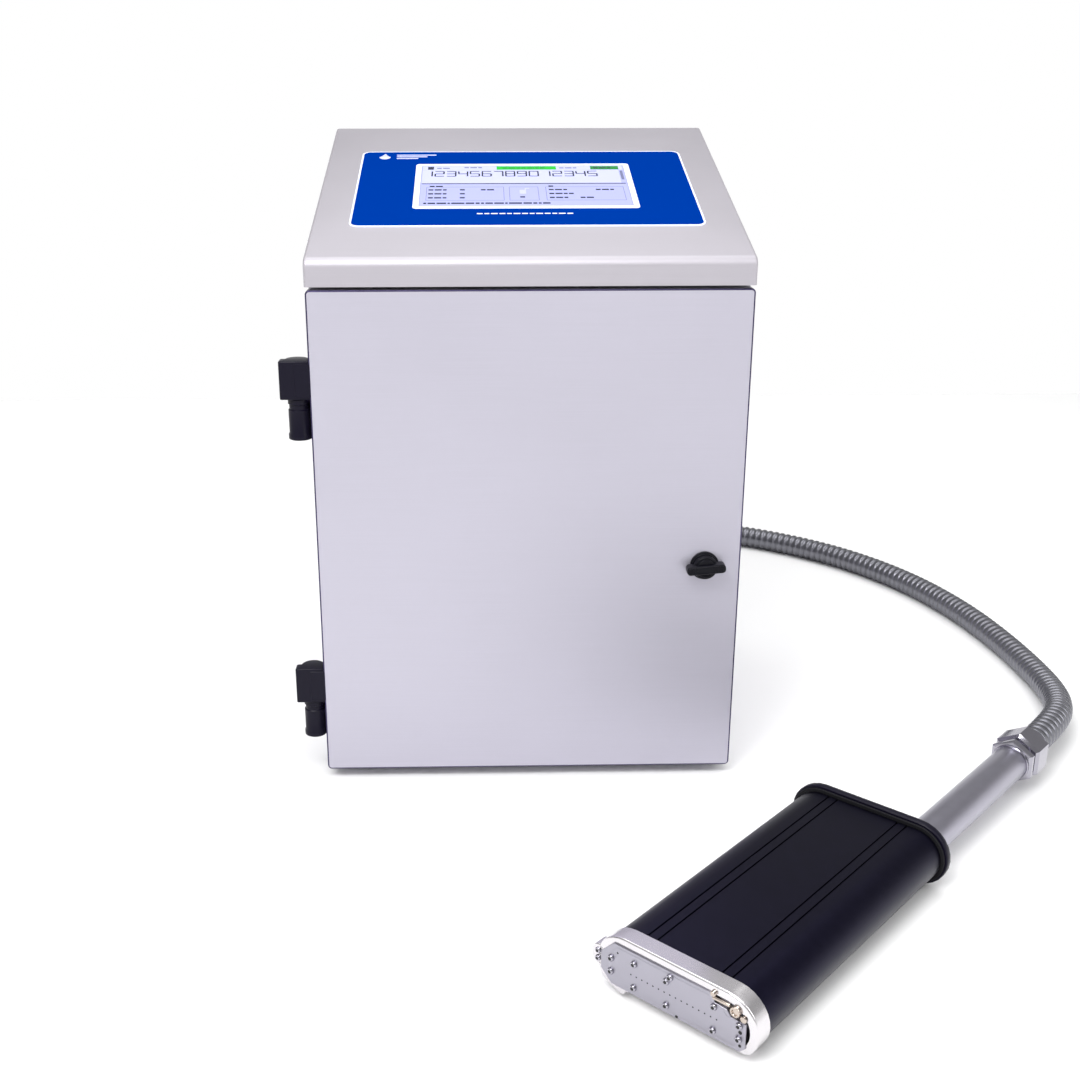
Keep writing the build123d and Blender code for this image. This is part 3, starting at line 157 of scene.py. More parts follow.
def add_studio():
    """Sky, lamps and a plain white floor."""
    add_sky()
    for name, settings in LAMPS.items():
        add_lamp(name, *settings)
    scene.view_settings.view_transform = "Standard"
    bpy.ops.mesh.primitive_plane_add(size=FLOOR_SIZE, location=(0, 0, 0))
    floor = bpy.context.object
    floor.name = "floor"
    paint = plain_material("floor_paint", (FLOOR_SHADE,) * 3, 0.95, grain=0.005, shine=0.0)
    floor.data.materials.append(paint)


# ------------------------------------------------------------------ materials
class Nodes:
    """A short way to build a material's node tree."""

    def __init__(self, name):
        self.material = bpy.data.materials.new(name)
        self.material.use_nodes = True
        self.tree = self.material.node_tree
        self.shader = self.tree.nodes["Principled BSDF"]

    def add(self, kind, **settings):
        node = self.tree.nodes.new(kind)
        for key, value in settings.items():
            setattr(node, key, value)
        return node

    def link(self, source, target):
        self.tree.links.new(source, target)

    def place(self, scale=(1, 1, 1)):
        """Object coordinates, stretched by scale."""
        where = self.add("ShaderNodeTexCoord")
        stretch = self.add("ShaderNodeMapping")
        stretch.inputs["Scale"].default_value = scale
        self.link(where.outputs["Object"], stretch.inputs["Vector"])
        return stretch.outputs["Vector"]

    def noise(self, vector, size, detail, roughness=0.55):
        node = self.add("ShaderNodeTexNoise")
        node.inputs["Scale"].default_value = size
        node.inputs["Detail"].default_value = detail
        node.inputs["Roughness"].default_value = roughness
        self.link(vector, node.inputs["Vector"])
        return node.outputs["Fac"]

    def spread(self, value, low, high, start=0.0, end=1.0):
        """Map a 0 to 1 value to the range low to high."""
        node = self.add("ShaderNodeMapRange")
        node.inputs["From Min"].default_value = start
        node.inputs["From Max"].default_value = end
        node.inputs["To Min"].default_value = low
        node.inputs["To Max"].default_value = high
        self.link(value, node.inputs["Value"])
        return node.outputs["Result"]

    def colour(self, factor, first, second):
        """A base colour between two, by a 0 to 1 factor."""
        node = self.add("ShaderNodeMix", data_type="RGBA")
        # The mix node's colour sockets are inputs 6 and 7 and output 2.
        node.inputs[6].default_value = (*first, 1)
        node.inputs[7].default_value = (*second, 1)
        self.link(factor, node.inputs[0])
        self.link(node.outputs[2], self.shader.inputs["Base Color"])

    def rough(self, factor, low, high):
        self.link(self.spread(factor, low, high), self.shader.inputs["Roughness"])

    def bump(self, height, strength, distance):
        node = self.add("ShaderNodeBump")
        node.inputs["Strength"].default_value = strength
        node.inputs["Distance"].default_value = distance
        self.link(height, node.inputs["Height"])
        self.link(node.outputs["Normal"], self.shader.inputs["Normal"])

    def set(self, **values):
        """Set the shader's own sockets by name, with _ for a space."""
        for key, value in values.items():
            self.shader.inputs[key.replace("_", " ")].default_value = value


def tinted(colour, factor):
    """The colour made lighter or darker."""
    return tuple(min(1.0, c * factor) for c in colour)


def plain_material(name, colour, rough, grain=0.05, bump=0.15, shine=0.5):
    """A moulded or painted surface with faint mottling, uneven gloss and a fine grain."""
    n = Nodes(name)
    n.set(Specular_IOR_Level=shine)
    where = n.place()
    n.colour(n.noise(where, 22, 4), tinted(colour, 1 - grain), tinted(colour, 1 + grain))
    n.rough(n.noise(where, 60, 3), rough - 0.05, rough + 0.05)
    n.bump(n.noise(where, 900, 2), bump, 0.0001)
    return n.material


def brushed_material(name, colour, along, rough, metallic=1.0):
    """Brushed metal: long fine scratches along the named axes, and faint cloudiness."""
    n = Nodes(name)
    n.set(Metallic=metallic)
    stretch = [2600.0, 2600.0, 2600.0]
    for axis in along:
        stretch["xyz".index(axis)] = 14.0
    lines = n.noise(n.place(stretch), 1.0, 4, 0.6)
    clouds = n.noise(n.place(), 9, 4)
    mixed = n.add("ShaderNodeMath", operation="ADD")
    n.link(n.spread(lines, 0, 0.72, 0.25, 0.75), mixed.inputs[0])
    n.link(n.spread(clouds, 0, 0.28, 0.3, 0.7), mixed.inputs[1])
    n.colour(mixed.outputs[0], tinted(colour, 0.95), tinted(colour, 1.05))
    n.rough(mixed.outputs[0], rough - 0.05, rough + 0.07)
    n.bump(lines, 0.12, 0.00005)
    return n.material


def metal_material(name, colour, rough, wear=0.06, size=140.0, bump=0.06):
    """Plated, turned or anodised metal with slight variation."""
    n = Nodes(name)
    n.set(Metallic=1.0)
    where = n.place()
    patch = n.noise(where, size, 4)
    n.colour(patch, tinted(colour, 1 - wear), tinted(colour, 1 + wear))
    n.rough(patch, rough - 0.04, rough + 0.06)
    n.bump(n.noise(where, size * 8, 2), bump, 0.00005)
    return n.material


def glow_material(name, colour, strength):
    """A part of the display, lit a little, as it looks through its glass."""
    n = Nodes(name)
    n.set(Roughness=0.25, Emission_Strength=strength, Specular_IOR_Level=0.15)
    faint = n.noise(n.place(), 4000, 1)
    n.colour(faint, tinted(colour, 0.97), tinted(colour, 1.03))
    n.shader.inputs["Emission Color"].default_value = (*colour, 1)
    return n.material


def clear_material(name, colour):
    """A clear plastic window."""
    n = Nodes(name)
    n.set(Alpha=0.25, IOR=1.46)
    where = n.place()
    n.colour(n.noise(where, 30, 2), tinted(colour, 0.97), tinted(colour, 1.03))
    n.rough(n.noise(where, 200, 2), 0.02, 0.05)
    return n.material


# Every material by its short name: what it is called, its colour, and its roughness.
M = {
    "case": brushed_material("case_steel", (0.5, 0.485, 0.56), "xy", 0.48, metallic=0.7),
    "lid": brushed_material("lid_steel", (0.46, 0.44, 0.48), "x", 0.5, metallic=0.7),
    "sheet": brushed_material("sheet_steel", (0.5, 0.5, 0.52), "xy", 0.42),
    "black": plain_material("black_powder_coat", (0.004, 0.003, 0.011), 0.32, bump=0.1, shine=0.17),
    "moulded": plain_material("black_moulding", (0.004, 0.004, 0.007), 0.34, bump=0.1, shine=0.14),
    "rubber": plain_material("black_rubber", (0.008, 0.008, 0.01), 0.75, bump=0.3, shine=0.2),
    "steel": metal_material("bright_steel", (0.66, 0.66, 0.68), 0.24),
    "zinc": metal_material("zinc_plate", (0.6, 0.59, 0.55), 0.38),
    "nickel": metal_material("nickel_plate", (0.38, 0.37, 0.42), 0.12),
    "film": plain_material("panel_film", (0.0, 0.029, 0.25), 0.5, grain=0.02, bump=0.03, shine=0.0),
    "white": plain_material("white_print", (0.8, 0.83, 0.95), 0.5, grain=0.02, bump=0.03, shine=0.2),
    "lavender": plain_material("pale_print", (0.55, 0.58, 0.85), 0.4, grain=0.02, bump=0.05),
    "anodised": metal_material("black_anodised", (0.011, 0.01, 0.024), 0.36, 0.12),
    "machined": metal_material("machined_steel", (0.66, 0.64, 0.66), 0.2, 0.05, 30, 0.01),
    "satin": metal_material("satin_aluminium", (0.36, 0.35, 0.41), 0.32),
    "conduit": metal_material("conduit_strip", (0.2, 0.2, 0.225), 0.3, 0.12, 220),
    "brass": metal_material("brass", (0.6, 0.4, 0.16), 0.25),
    "gold": metal_material("straw_plating", (0.5, 0.43, 0.38), 0.2),
    "board": plain_material("solder_mask", (0.008, 0.09, 0.035), 0.35),
    "tank": plain_material("natural_polyethylene", (0.66, 0.66, 0.6), 0.45),
    "tubing": plain_material("black_tubing", (0.02, 0.02, 0.03), 0.3),
    "cast": metal_material("cast_aluminium", (0.45, 0.45, 0.47), 0.45, 0.1, 90, 0.3),
    "red": plain_material("needle_red", (0.5, 0.02, 0.01), 0.4),
    # Near-black for nozzles, holes and screw sockets: painted shade that stands for their hollows.
    "hole": plain_material("painted_shade_bore", (0.003, 0.003, 0.004), 0.6),
    "gauge": clear_material("gauge_window", (0.95, 0.95, 0.95)),
    "plate": metal_material("ground_plate", (0.36, 0.35, 0.4), 0.33, 0.05, 40),
    # The door's rounded front edge: a dark colour that is a painted reflection.
    "edge": metal_material("painted_edge_reflection", (0.06, 0.05, 0.11), 0.3, 0.05, 60),
    "lcd": glow_material("lcd_ground", (0.36, 0.38, 0.68), 0.1),
    "lcd_pale": glow_material("lcd_pale", (0.48, 0.5, 0.78), 0.1),
    "lcd_dark": glow_material("lcd_dark", (0.025, 0.028, 0.06), 0.0),
    "lcd_grey": glow_material("lcd_grey", (0.16, 0.17, 0.3), 0.0),
    "lcd_green": glow_material("lcd_green", (0.01, 0.42, 0.02), 0.2),
    "lcd_deep": glow_material("lcd_deep_green", (0.01, 0.2, 0.03), 0.1),
}


# ------------------------------------------------------------------ mesh helpers
def place(origin=(0, 0, 0), right=(1, 0, 0), out=(0, 0, 1)):
    """A local frame in millimetres: x along right, z along out, y up from both."""
    x, z = Vector(right).normalized(), Vector(out).normalized()
    y = z.cross(x)
    return Matrix.Translation(origin) @ Matrix((x, y, z)).transposed().to_4x4()


def front_at(x, z, y=FRONT):
    """A frame that faces the front: x is right, y is up, z comes out of the door."""
    return place((x, y, z), (1, 0, 0), (0, -1, 0))


PANEL = place((0, FRONT, LID_TOP), (1, 0, 0), (0, -sin(TILT), cos(TILT)))
head_back = Vector(
    (sin(HEAD_TURN) * cos(HEAD_PITCH), cos(HEAD_TURN) * cos(HEAD_PITCH), sin(HEAD_PITCH))
)
head_right = Vector((cos(HEAD_TURN), -sin(HEAD_TURN), 0))
HEAD = place(HEAD_POINT, head_right, -head_back)


def circle(radius, count):
    angles = [2 * pi * i / count for i in range(count)]
    return [(radius * cos(a), radius * sin(a)) for a in angles]


def rounded(w, h, r, steps=6):
    """A rectangle with round corners, anticlockwise."""
    r = max(r, 0.01)
    points = []
    for quarter, (sx, sy) in enumerate(((1, 1), (-1, 1), (-1, -1), (1, -1))):
        cx, cy = sx * (w / 2 - r), sy * (h / 2 - r)
        for i in range(steps + 1):
            a = pi / 2 * (quarter + i / steps)
            points.append((cx + r * cos(a), cy + r * sin(a)))
    return points


def hexagon(flats, r=0.8, steps=3):
    """A hexagon of that size across flats, with eased corners."""
    points = []
    for k in range(6):
        corner = radians(60 * k + 30)
        reach = (flats / 2 - r) / cos(radians(30))
        for i in range(steps + 1):
            a = corner + radians(30) * (2 * i / steps - 1)
            points.append((reach * cos(corner) + r * cos(a), reach * sin(corner) + r * sin(a)))
    return points


def offset(points, dx, dy):
    """The same outline, moved."""
    return [(x + dx, y + dy) for x, y in points]


def finish_mesh(name, mesh, material, body, stands_for, sharp):
    """Make the mesh an object that rides on its body and stands for its nodes."""
    mesh.set_sharp_from_angle(angle=radians(sharp))
    obj = bpy.data.objects.new(name, mesh)
    scene.collection.objects.link(obj)
    for m in material if isinstance(material, (list, tuple)) else [material]:
        mesh.materials.append(m)
    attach(obj, body)
    if stands_for:
        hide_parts(*([stands_for] if isinstance(stands_for, str) else stands_for))
    return obj


class Shape:
    """Collects lofts in millimetres and turns them into one mesh object."""

    def __init__(self):
        self.bm = bmesh.new()

    def loft(self, loops, at=Matrix(), caps=(True, True), closed=False, index=0):
        """Join loops of as many points each, with end caps, or as a closed ring of loops."""
        rows = []
        for loop in loops:
            rows.append([self.bm.verts.new((at @ Vector(p)) * MM) for p in loop])
        count = len(rows[0])
        pairs = list(zip(rows, rows[1:])) + ([(rows[-1], rows[0])] if closed else [])
        for low, high in pairs:
            for i in range(count):
                j = (i + 1) % count
                face = self.bm.faces.new((low[i], low[j], high[j], high[i]))
                face.material_index = index
        if caps[0] and not closed:
            self.bm.faces.new(list(reversed(rows[0]))).material_index = index
        if caps[1] and not closed:
            self.bm.faces.new(rows[-1]).material_index = index
        return self

    def stack(self, outline, levels, at=Matrix(), caps=(True, True), index=0):
        """Loft outline(inset) through (inset, z) levels."""
        loops = [[(x, y, z) for x, y in outline(inset)] for inset, z in levels]
        return self.loft(loops, at, caps, index=index)

    def turned(self, levels, at=Matrix(), count=48, index=0):
        """A turned shape through (radius, z) levels."""
        loops = [[(x, y, z) for x, y in circle(r, count)] for r, z in levels]
        return self.loft(loops, at, index=index)

    def slab(self, w, h, z0, z1, at=Matrix(), centre=(0, 0), r=0.3, edge=0.15, index=0, steps=2):
        """A rectangular block with eased corners and a softened outer edge."""
        edge = min(edge, abs(z1 - z0) / 2.5, w / 4, h / 4)
        r = min(r, w / 2.2, h / 2.2)

        def outline(inset):
            return offset(rounded(w - 2 * inset, h - 2 * inset, r - inset, steps), *centre)

        return self.stack(outline, [(0, z0), (0, z1 - edge), (edge, z1)], at, index=index)

    def make(self, name, material, body="root", stands_for=(), sharp=32):
        """End the shape: a smooth-shaded object, creased where faces meet at more than sharp degrees."""
        bmesh.ops.recalc_face_normals(self.bm, faces=self.bm.faces)
        for face in self.bm.faces:
            face.smooth = True
        mesh = bpy.data.meshes.new(name)
        self.bm.to_mesh(mesh)
        self.bm.free()
        return finish_mesh(name, mesh, material, body, stands_for, sharp)


def eased(radius, z, steps):
    """(inset, z) levels of a rounded outer edge that ends at height z."""
    levels = []
    for i in range(steps + 1):
        a = pi / 2 * i / steps
        levels.append((radius * (1 - cos(a)), z - radius + radius * sin(a)))
    return levels


# ------------------------------------------------------------------ umbilical hose
def hose_route():
    """The route of the umbilical, gland to head, in millimetres."""
    top = HOSE_R + COIL_TURNS * COIL_STEP
    points = [(GLAND_X, GLAND_END, GLAND_Z), (GLAND_X, 226, GLAND_Z)]
    turns = int(COIL_TURNS * 16)
    for i in range(turns + 1):
        part = i / turns
        a = pi - 2 * pi * COIL_TURNS * part
        height = top - COIL_TURNS * COIL_STEP * part
        points.append((COIL_X + COIL_R * cos(a), COIL_Y + COIL_R * sin(a), height))
    points += [
        (90, 417, 11), (140, 421, 11), (190, 416, 11), (236, 403, 11), (280, 380, 11), (318, 351, 11),
        (351, 318, 11), (379, 279, 11), (403, 234, 11), (420, 186, 11), (432, 136, 11), (439, 84, 11),
        (442, 34, 11.5), (440, -15, 14), (430, -60, 19), (409.02, -100.93, 24.47),
        (374.68, -137.27, 23.95),
    ]
    return [Vector(p) * MM for p in points]


def smooth_line(route):
    """Points along one NURBS curve that has the route as its control points."""
    curve = bpy.data.curves.new("hose_route", "CURVE")
    curve.dimensions = "3D"
    curve.resolution_u = 24
    spline = curve.splines.new("NURBS")
    spline.points.add(len(route) - 1)
    for point, spot in zip(spline.points, route):
        point.co = (*spot, 1)
    spline.order_u = 3
    spline.use_endpoint_u = True
    carrier = bpy.data.objects.new("hose_route", curve)
    scene.collection.objects.link(carrier)
    bpy.context.view_layer.update()
    line = bpy.data.meshes.new_from_object(carrier)
    path = [v.co.copy() for v in line.vertices]
    bpy.data.meshes.remove(line)
    bpy.data.objects.remove(carrier)
    return path


def hose_rings(bm, path, far):
    """Rings of vertices along the path, ridged like wound strip. far is the distance to each point."""
    length = far[-1]
    ridges = round(length / (HOSE_RIDGE * MM))
    stations = []
    for k in range(ridges):
        stations += [((k + part) * length / ridges, RIDGE_DEPTH * dip) for part, dip in RIDGE]
    stations.append((length, 0.0))
    rings = []
    across = Vector((0, 0, 1))
    step = 0
    for s, dip in stations:
        while step < len(far) - 2 and far[step + 1] < s:
            step += 1
        part = (s - far[step]) / max(far[step + 1] - far[step], 1e-9)
        centre = path[step].lerp(path[step + 1], min(part, 1))
        before, after = path[max(step - 1, 0)], path[min(step + 2, len(path) - 1)]
        tangent = (after - before).normalized()
        across = (across - tangent * across.dot(tangent)).normalized()
        other = tangent.cross(across)
        radius = (HOSE_R - dip) * MM
        rings.append([
            bm.verts.new(centre + radius * (across * cos(a) + other * sin(a)))
            for a in (2 * pi * i / HOSE_SIDES for i in range(HOSE_SIDES))
        ])
    return rings


def add_hose(connector):
    """A corrugated steel conduit swept along the smooth line through the route."""
    route = hose_route()
    path = smooth_line(route)
    far = [0.0]
    for a, b in zip(path, path[1:]):
        far.append(far[-1] + (b - a).length)

    bm = bmesh.new()
    rings = hose_rings(bm, path, far)
    for low, high in zip(rings, rings[1:]):
        for i in range(HOSE_SIDES):
            j = (i + 1) % HOSE_SIDES
            bm.faces.new((low[i], low[j], high[j], high[i]))
    bm.faces.new(list(reversed(rings[0])))
    bm.faces.new(rings[-1])
    for face in bm.faces:
        face.smooth = True
    mesh = bpy.data.meshes.new("umbilical_hose")
    bm.to_mesh(mesh)
    bm.free()
    hose = finish_mesh("umbilical_hose", mesh, M["conduit"], "root",
                       ("hose_tail", "hose_coil", "hose_run"), 80)


# ------------------------------------------------------------------ door
def add_door():
    """The door: a folded tray whose rounded edge, where its front face turns back, is painted dark as a
    reflection.
    """

    def outline(inset):
        return rounded(DOOR_W - 2 * inset, DOOR_H - 2 * inset, 3 - min(inset, 2), 5)

    at = front_at(0, DOOR_MID, FRONT + DOOR_T)
    flange, turn = SHEET + DOOR_FLANGE, DOOR_T - 0.95
    levels = [(SHEET, DOOR_T - SHEET), (SHEET, SHEET), (flange, SHEET), (flange, 0), (0.2, 0), (0, 0.2)]
    door = Shape().stack(outline, levels + [(0, turn)], at, caps=(True, False))
    # The rounded front edge takes the dark edge colour: a painted dark reflection.
    door.stack(outline, [(0, turn)] + eased(0.9, DOOR_T, 4) + [(1.15, DOOR_T)], at,
               caps=(False, False), index=1)
    door.stack(outline, [(1.15, DOOR_T), (2.0, DOOR_T)], at, caps=(False, True))
    door.make("door_panel", [M["case"], M["edge"]], "door", "door")


def add_lock():
    """The quarter-turn lock: a fixed housing, and the wing with its shaft behind the door."""
    at = front_at(LOCK_X, LOCK_Z)
    base = Shape()
    flange = [(10.3 - i, 1.2 + z) for i, z in eased(0.8, 0.8, 4)]
    base.turned([(8, 0), (10.3, 0), (10.3, 1.2)] + flange, at)
    collar = [(9.2 - i, z) for i, z in eased(0.5, 3.0, 3)]
    base.turned([(9.2, 1.9), (9.2, 2.5)] + collar + [(5.1, 3.0)], at)
    base.turned([(8, 0.0), (8, -19.0), (5.1, -19.0), (5.1, 0)], at)
    base.stack(lambda i: hexagon(21 - 2 * i), [(0, -1.6), (0, -6.1), (0.5, -6.5)], at)
    base.make("lock_base", M["moulded"], "door", "lock_housing")
    knob = Shape()
    knob.turned([(8.4, 3.3)] + [(8.6 - i, z) for i, z in eased(1.6, 7.3, 5)] + [(6.7, 7.3)], at)
    knob.turned([(6.6, 7.2)] + [(6.6 - i, z) for i, z in eased(0.7, 8.6, 3)], at)
    tilt = at @ Matrix.Rotation(WING_TURN, 4, "Z")

    def wing(inset):
        return rounded(27.6 - 2 * inset, 6.4 - 2 * inset, 2.6 - min(inset, 1.5), 5)

    knob.stack(wing, [(0.3, 3.4), (0, 3.8), (0, 10.4)] + eased(1.6, 12.2, 5), tilt)
    for side in (-1, 1):
        for k in range(4):
            knob.slab(0.7, 5.0, 11.6, 12.45, tilt, (side * (6.5 + 1.7 * k), 0), 0.3, 0.2)
    knob.turned([(5, 3.4), (5, -18.6)], at)
    knob.turned([(3, -18.6), (3, -21.1)], at)
    knob.stack(lambda i: hexagon(10 - 2 * i, 0.5), [(0, -21.1), (0, -24.8), (0.4, -25.1)], at)
    knob.make("lock_wing", M["moulded"], "lock", "lock_knob")


def add_hinges():
    """Two lift-off hinges: blocks on the door, barrels and webs on the body, and pins."""

    def leaf(inset):
        left, right, front = -11.8 + inset, 8.5 - inset, -9 + inset
        back = LEAF_R - inset
        points = [(right, 0.0)]
        points += [(back * cos(pi * i / 20), back * sin(pi * i / 20)) for i in range(1, 20)]
        points += [(-back, 0.0), (left, -0.4), (left, front + 1.2), (left + 0.35, front + 0.35)]
        points += [(left + 1.2, front), (right, front)]
        return points

    leaves, barrels, pins = Shape(), Shape(), Shape()
    leaf_levels = [(0.3, 0), (0, 0.3), (0, LEAF_H - 1.2)] + eased(1.2, LEAF_H, 4)
    barrel_levels = [
        (BARREL_R - 0.4, 0), (BARREL_R, 0.4), (BARREL_R, 3.6), (BARREL_R - 0.6, 4.6),
        (BARREL_R - 0.6, 20.6), (BARREL_R - 1.3, 21.3), (BARREL_R - 1.3, 24.3),
        (BARREL_R - 0.5, 24.9), (BARREL_R - 0.5, 28.2), (BARREL_R - 0.8, BARREL_H),
    ]
    for base in HINGE_Z:
        leaves.stack(leaf, leaf_levels, place((HINGE_X, HINGE_Y, base)))
        seam = front_at(HINGE_X - 1.6, base, HINGE_Y - 9)
        leaves.slab(10.6, LEAF_H - 3.4, -0.4, 0.35, seam, (5.6, LEAF_H / 2 - 0.4), 1.0, 0.3, steps=3)
        foot = base - 0.4 - BARREL_H
        at = place((HINGE_X, HINGE_Y, foot))
        barrels.turned(barrel_levels, at)
        web = place((WEB_X, HINGE_Y + WEB_BACK, foot + BARREL_H / 2), (0, 1, 0), (-1, 0, 0))
        barrels.slab(WEB_W, BARREL_H, -WEB_T / 2, WEB_T / 2, web, r=2.5, edge=0.8, steps=4)
        arm = place((-156, HINGE_Y + 8.5, foot))
        barrels.slab(14, 6, 0.4, BARREL_H - 0.4, arm, r=1)
        pins.turned([(3, 0.5), (3, BARREL_H + 13.4), (2.4, BARREL_H + 14.2)], at, 24)
    leaves.make("hinge_leaf_blocks", M["black"], "door", "hinge_door_leaves")
    barrels.make("hinge_barrels", M["black"], "root", "hinge_body_leaves")
    pins.make("hinge_pin_rods", M["steel"], "root", "hinge_pins")


# ------------------------------------------------------------------ lid and operator panel
def lid_profile(inset, bend, steps=10):
    """Side view of the lid in (y, z), from the front lip's edge over the top to the rear.

    inset is how far the section lies inside the outer skin, and bend the radius of the front fold.
    """
    drop = inset / cos(TILT) - inset * tan(TILT)
    corner = Vector((FRONT + inset, LID_TOP - drop))
    reach = bend * tan((pi / 2 - TILT) / 2)
    centre = Vector((corner.x + bend, corner.y - reach))
    points = [(FRONT + inset, LID_BOTTOM)]
    sweep = pi / 2 - TILT
    for i in range(steps + 1):
        a = pi - sweep * i / steps
        points.append((centre.x + bend * cos(a), centre.y + bend * sin(a)))
    rear = BACK - inset
    rear_z = LID_TOP + (DEPTH - inset) * tan(TILT) - inset / cos(TILT)
    rear_bend = max(bend * 0.25, 0.5)
    points.append((rear - rear_bend, rear_z - rear_bend * tan(TILT)))
    points.append((rear - rear_bend * 0.35, rear_z - rear_bend * 0.3))
    points.append((rear, rear_z - rear_bend))
    points.append((rear, LID_BOTTOM + (DEPTH - inset) * tan(TILT)))
    return points


def add_lid():
    """A folded steel lid: rounded front bend, softened ends, open below."""
    end = []
    for i in range(6):
        a = pi / 2 * i / 5
        end.append((LID_W / 2 - LID_RIM + LID_RIM * sin(a), LID_RIM * (1 - cos(a))))
    sections = [(-x, inset) for x, inset in reversed(end)] + end
    shell = Shape()
    rows = []
    for x, inset in sections:
        profile = lid_profile(inset, LID_BEND - min(inset, 2))
        rows.append([shell.bm.verts.new(Vector((x, y, z)) * MM) for y, z in profile])
    for low, high in zip(rows, rows[1:]):
        for i in range(len(low) - 1):
            shell.bm.faces.new((low[i], high[i], high[i + 1], low[i + 1]))
    for row in (rows[0], rows[-1]):
        shell.bm.faces.new(row)
    return shell.make("lid_shell", M["lid"], "root", "top_cover", FOLD_ANGLE)


def cut_window(lid):
    """Give the lid's shell its sheet thickness, then cut the screen's window through it."""
    cutter = Shape().slab(WINDOW_W, WINDOW_H, -WINDOW_REACH, WINDOW_REACH, PANEL, (0, SCREEN_UP), 2.0)
    cutter = cutter.make("cutter", M["hole"])
    thick = lid.modifiers.new("sheet", "SOLIDIFY")
    thick.thickness, thick.offset = SHEET * MM, -1
    cut = lid.modifiers.new("window", "BOOLEAN")
    cut.object, cut.operation, cut.solver = cutter, "DIFFERENCE", "EXACT"
    bpy.context.view_layer.update()
    mesh = bpy.data.meshes.new_from_object(lid.evaluated_get(bpy.context.evaluated_depsgraph_get()))
    lid.modifiers.clear()
    lid.data = mesh
    mesh.set_sharp_from_angle(angle=radians(FOLD_ANGLE))
    bpy.data.objects.remove(cutter)


def panel_loop(w, h, r, up, z):
    """A round-cornered rectangle on the panel, centred at that distance up it."""
    return [(x, y, z) for x, y in offset(rounded(w, h, r, 6), 0, up)]


def ring_stack(shape, size, hole, radii, z0, z1, centre_up, edge, index=0):
    """A flat frame on the panel between two rounded rectangles."""
    (w, h), (iw, ih), (r, ir) = size, hole, radii
    loops = [panel_loop(w, h, r, centre_up, z0), panel_loop(w, h, r, centre_up, z1 - edge)]
    for i in range(1, 4):
        a = pi / 2 * i / 3
        shift, z = edge * (1 - cos(a)), z1 - edge + edge * sin(a)
        loops.append(panel_loop(w - 2 * shift, h - 2 * shift, r - shift, centre_up, z))
    loops += [panel_loop(iw, ih, ir, centre_up, z1), panel_loop(iw, ih, ir, centre_up, z0)]
    shape.loft(loops, PANEL, closed=True, index=index)


def add_film():
    """The printed film: a white border around a blue field that is open at the screen."""
    film = Shape()
    field = (OVERLAY_W - 2 * BORDER, OVERLAY_H - 2 * BORDER)
    ring_stack(film, (OVERLAY_W, OVERLAY_H), field, (7, 5.6), 0.02, FILM_TOP, OVERLAY_UP, 0.25, 1)
    hole = (BEZEL_W - 1, BEZEL_H - 1)
    film.loft([
        panel_loop(*field, 5.6, OVERLAY_UP, 0.1), panel_loop(*field, 5.6, OVERLAY_UP, FILM_TOP),
        panel_loop(*hole, 2.5, SCREEN_UP, FILM_TOP), panel_loop(*hole, 2.5, SCREEN_UP, 0.1),
    ], PANEL, closed=True)
    film.make("panel_film", [M["film"], M["white"]], "root", "front_overlay")


def add_bezel():
    """The raised white frame around the screen."""
    bezel = Shape()
    hole = (SCREEN_W + 0.4, SCREEN_H + 0.4)
    ring_stack(bezel, (BEZEL_W, BEZEL_H), hole, (3, 1), 0.1, FRAME_TOP, SCREEN_UP, 0.4)
    bezel.make("screen_frame", M["white"], "root", "screen_bezel")


def add_mark():
    """A neutral printed mark in the panel's corner: an ink drop and three bars."""
    mark = Shape()
    left, up = -OVERLAY_W / 2 + 12, OVERLAY_UP + OVERLAY_H / 2 - 12.5
    wide, tall = 4.4, 4.6
    drop = []
    for i in range(32):
        a = 2 * pi * i / 32 - pi / 2
        rise = max(sin(a), 0)
        drop.append((wide * cos(a) * (1 - 0.35 * rise) ** 2, tall * sin(a) + 3.2 * rise ** 5))

    def droplet(inset):
        keep = 1 - inset / wide
        return offset([(x * keep, y * keep) for x, y in drop], left + 6, up - 1)

    mark.stack(droplet, [(0, FILM_TOP), (0, PRINT_TOP - 0.02), (0.05, PRINT_TOP)], PANEL)
    for k, width in enumerate((31, 24, 17)):
        centre = (left + 15 + width / 2, up + 3.9 - 3.9 * k)
        mark.slab(width, 2.1, FILM_TOP, PRINT_TOP, PANEL, centre, 1, 0.03, steps=4)
    mark.make("panel_mark", M["lavender"], "root")


def add_label():
    """A row of blank dashes below the screen."""
    label = Shape()
    write_dashes(label, PANEL, (-LABEL_W / 2, LABEL_UP), LABEL_W, LABEL_H, FILM_TOP, PRINT_TOP,
                 (4.2, 3.4, 4.8), 1.2)
    label.make("panel_label", M["white"], "root")


def write_dashes(shape, at, start, length, height, z0, z1, words, gap, index=0):
    """A row of blank dashes, as long as length allows, whose widths repeat the list words."""
    x, k = start[0], 0
    while x + words[k % len(words)] <= start[0] + length + 0.01:
        width = words[k % len(words)]
        centre = (x + width / 2, start[1])
        shape.slab(width, height, z0, z1, at, centre, min(0.4, height / 3), 0.02, index)
        x += width + gap
        k += 1


# The bars that each digit lights: a on top, then clockwise to f, and g in the middle.
SEGMENTS = {"0": "abcdef", "1": "bc", "2": "abged", "3": "abgcd", "4": "fgbc", "5": "afgcd",
            "6": "afgedc", "7": "abc", "8": "abcdefg", "9": "abcdfg"}


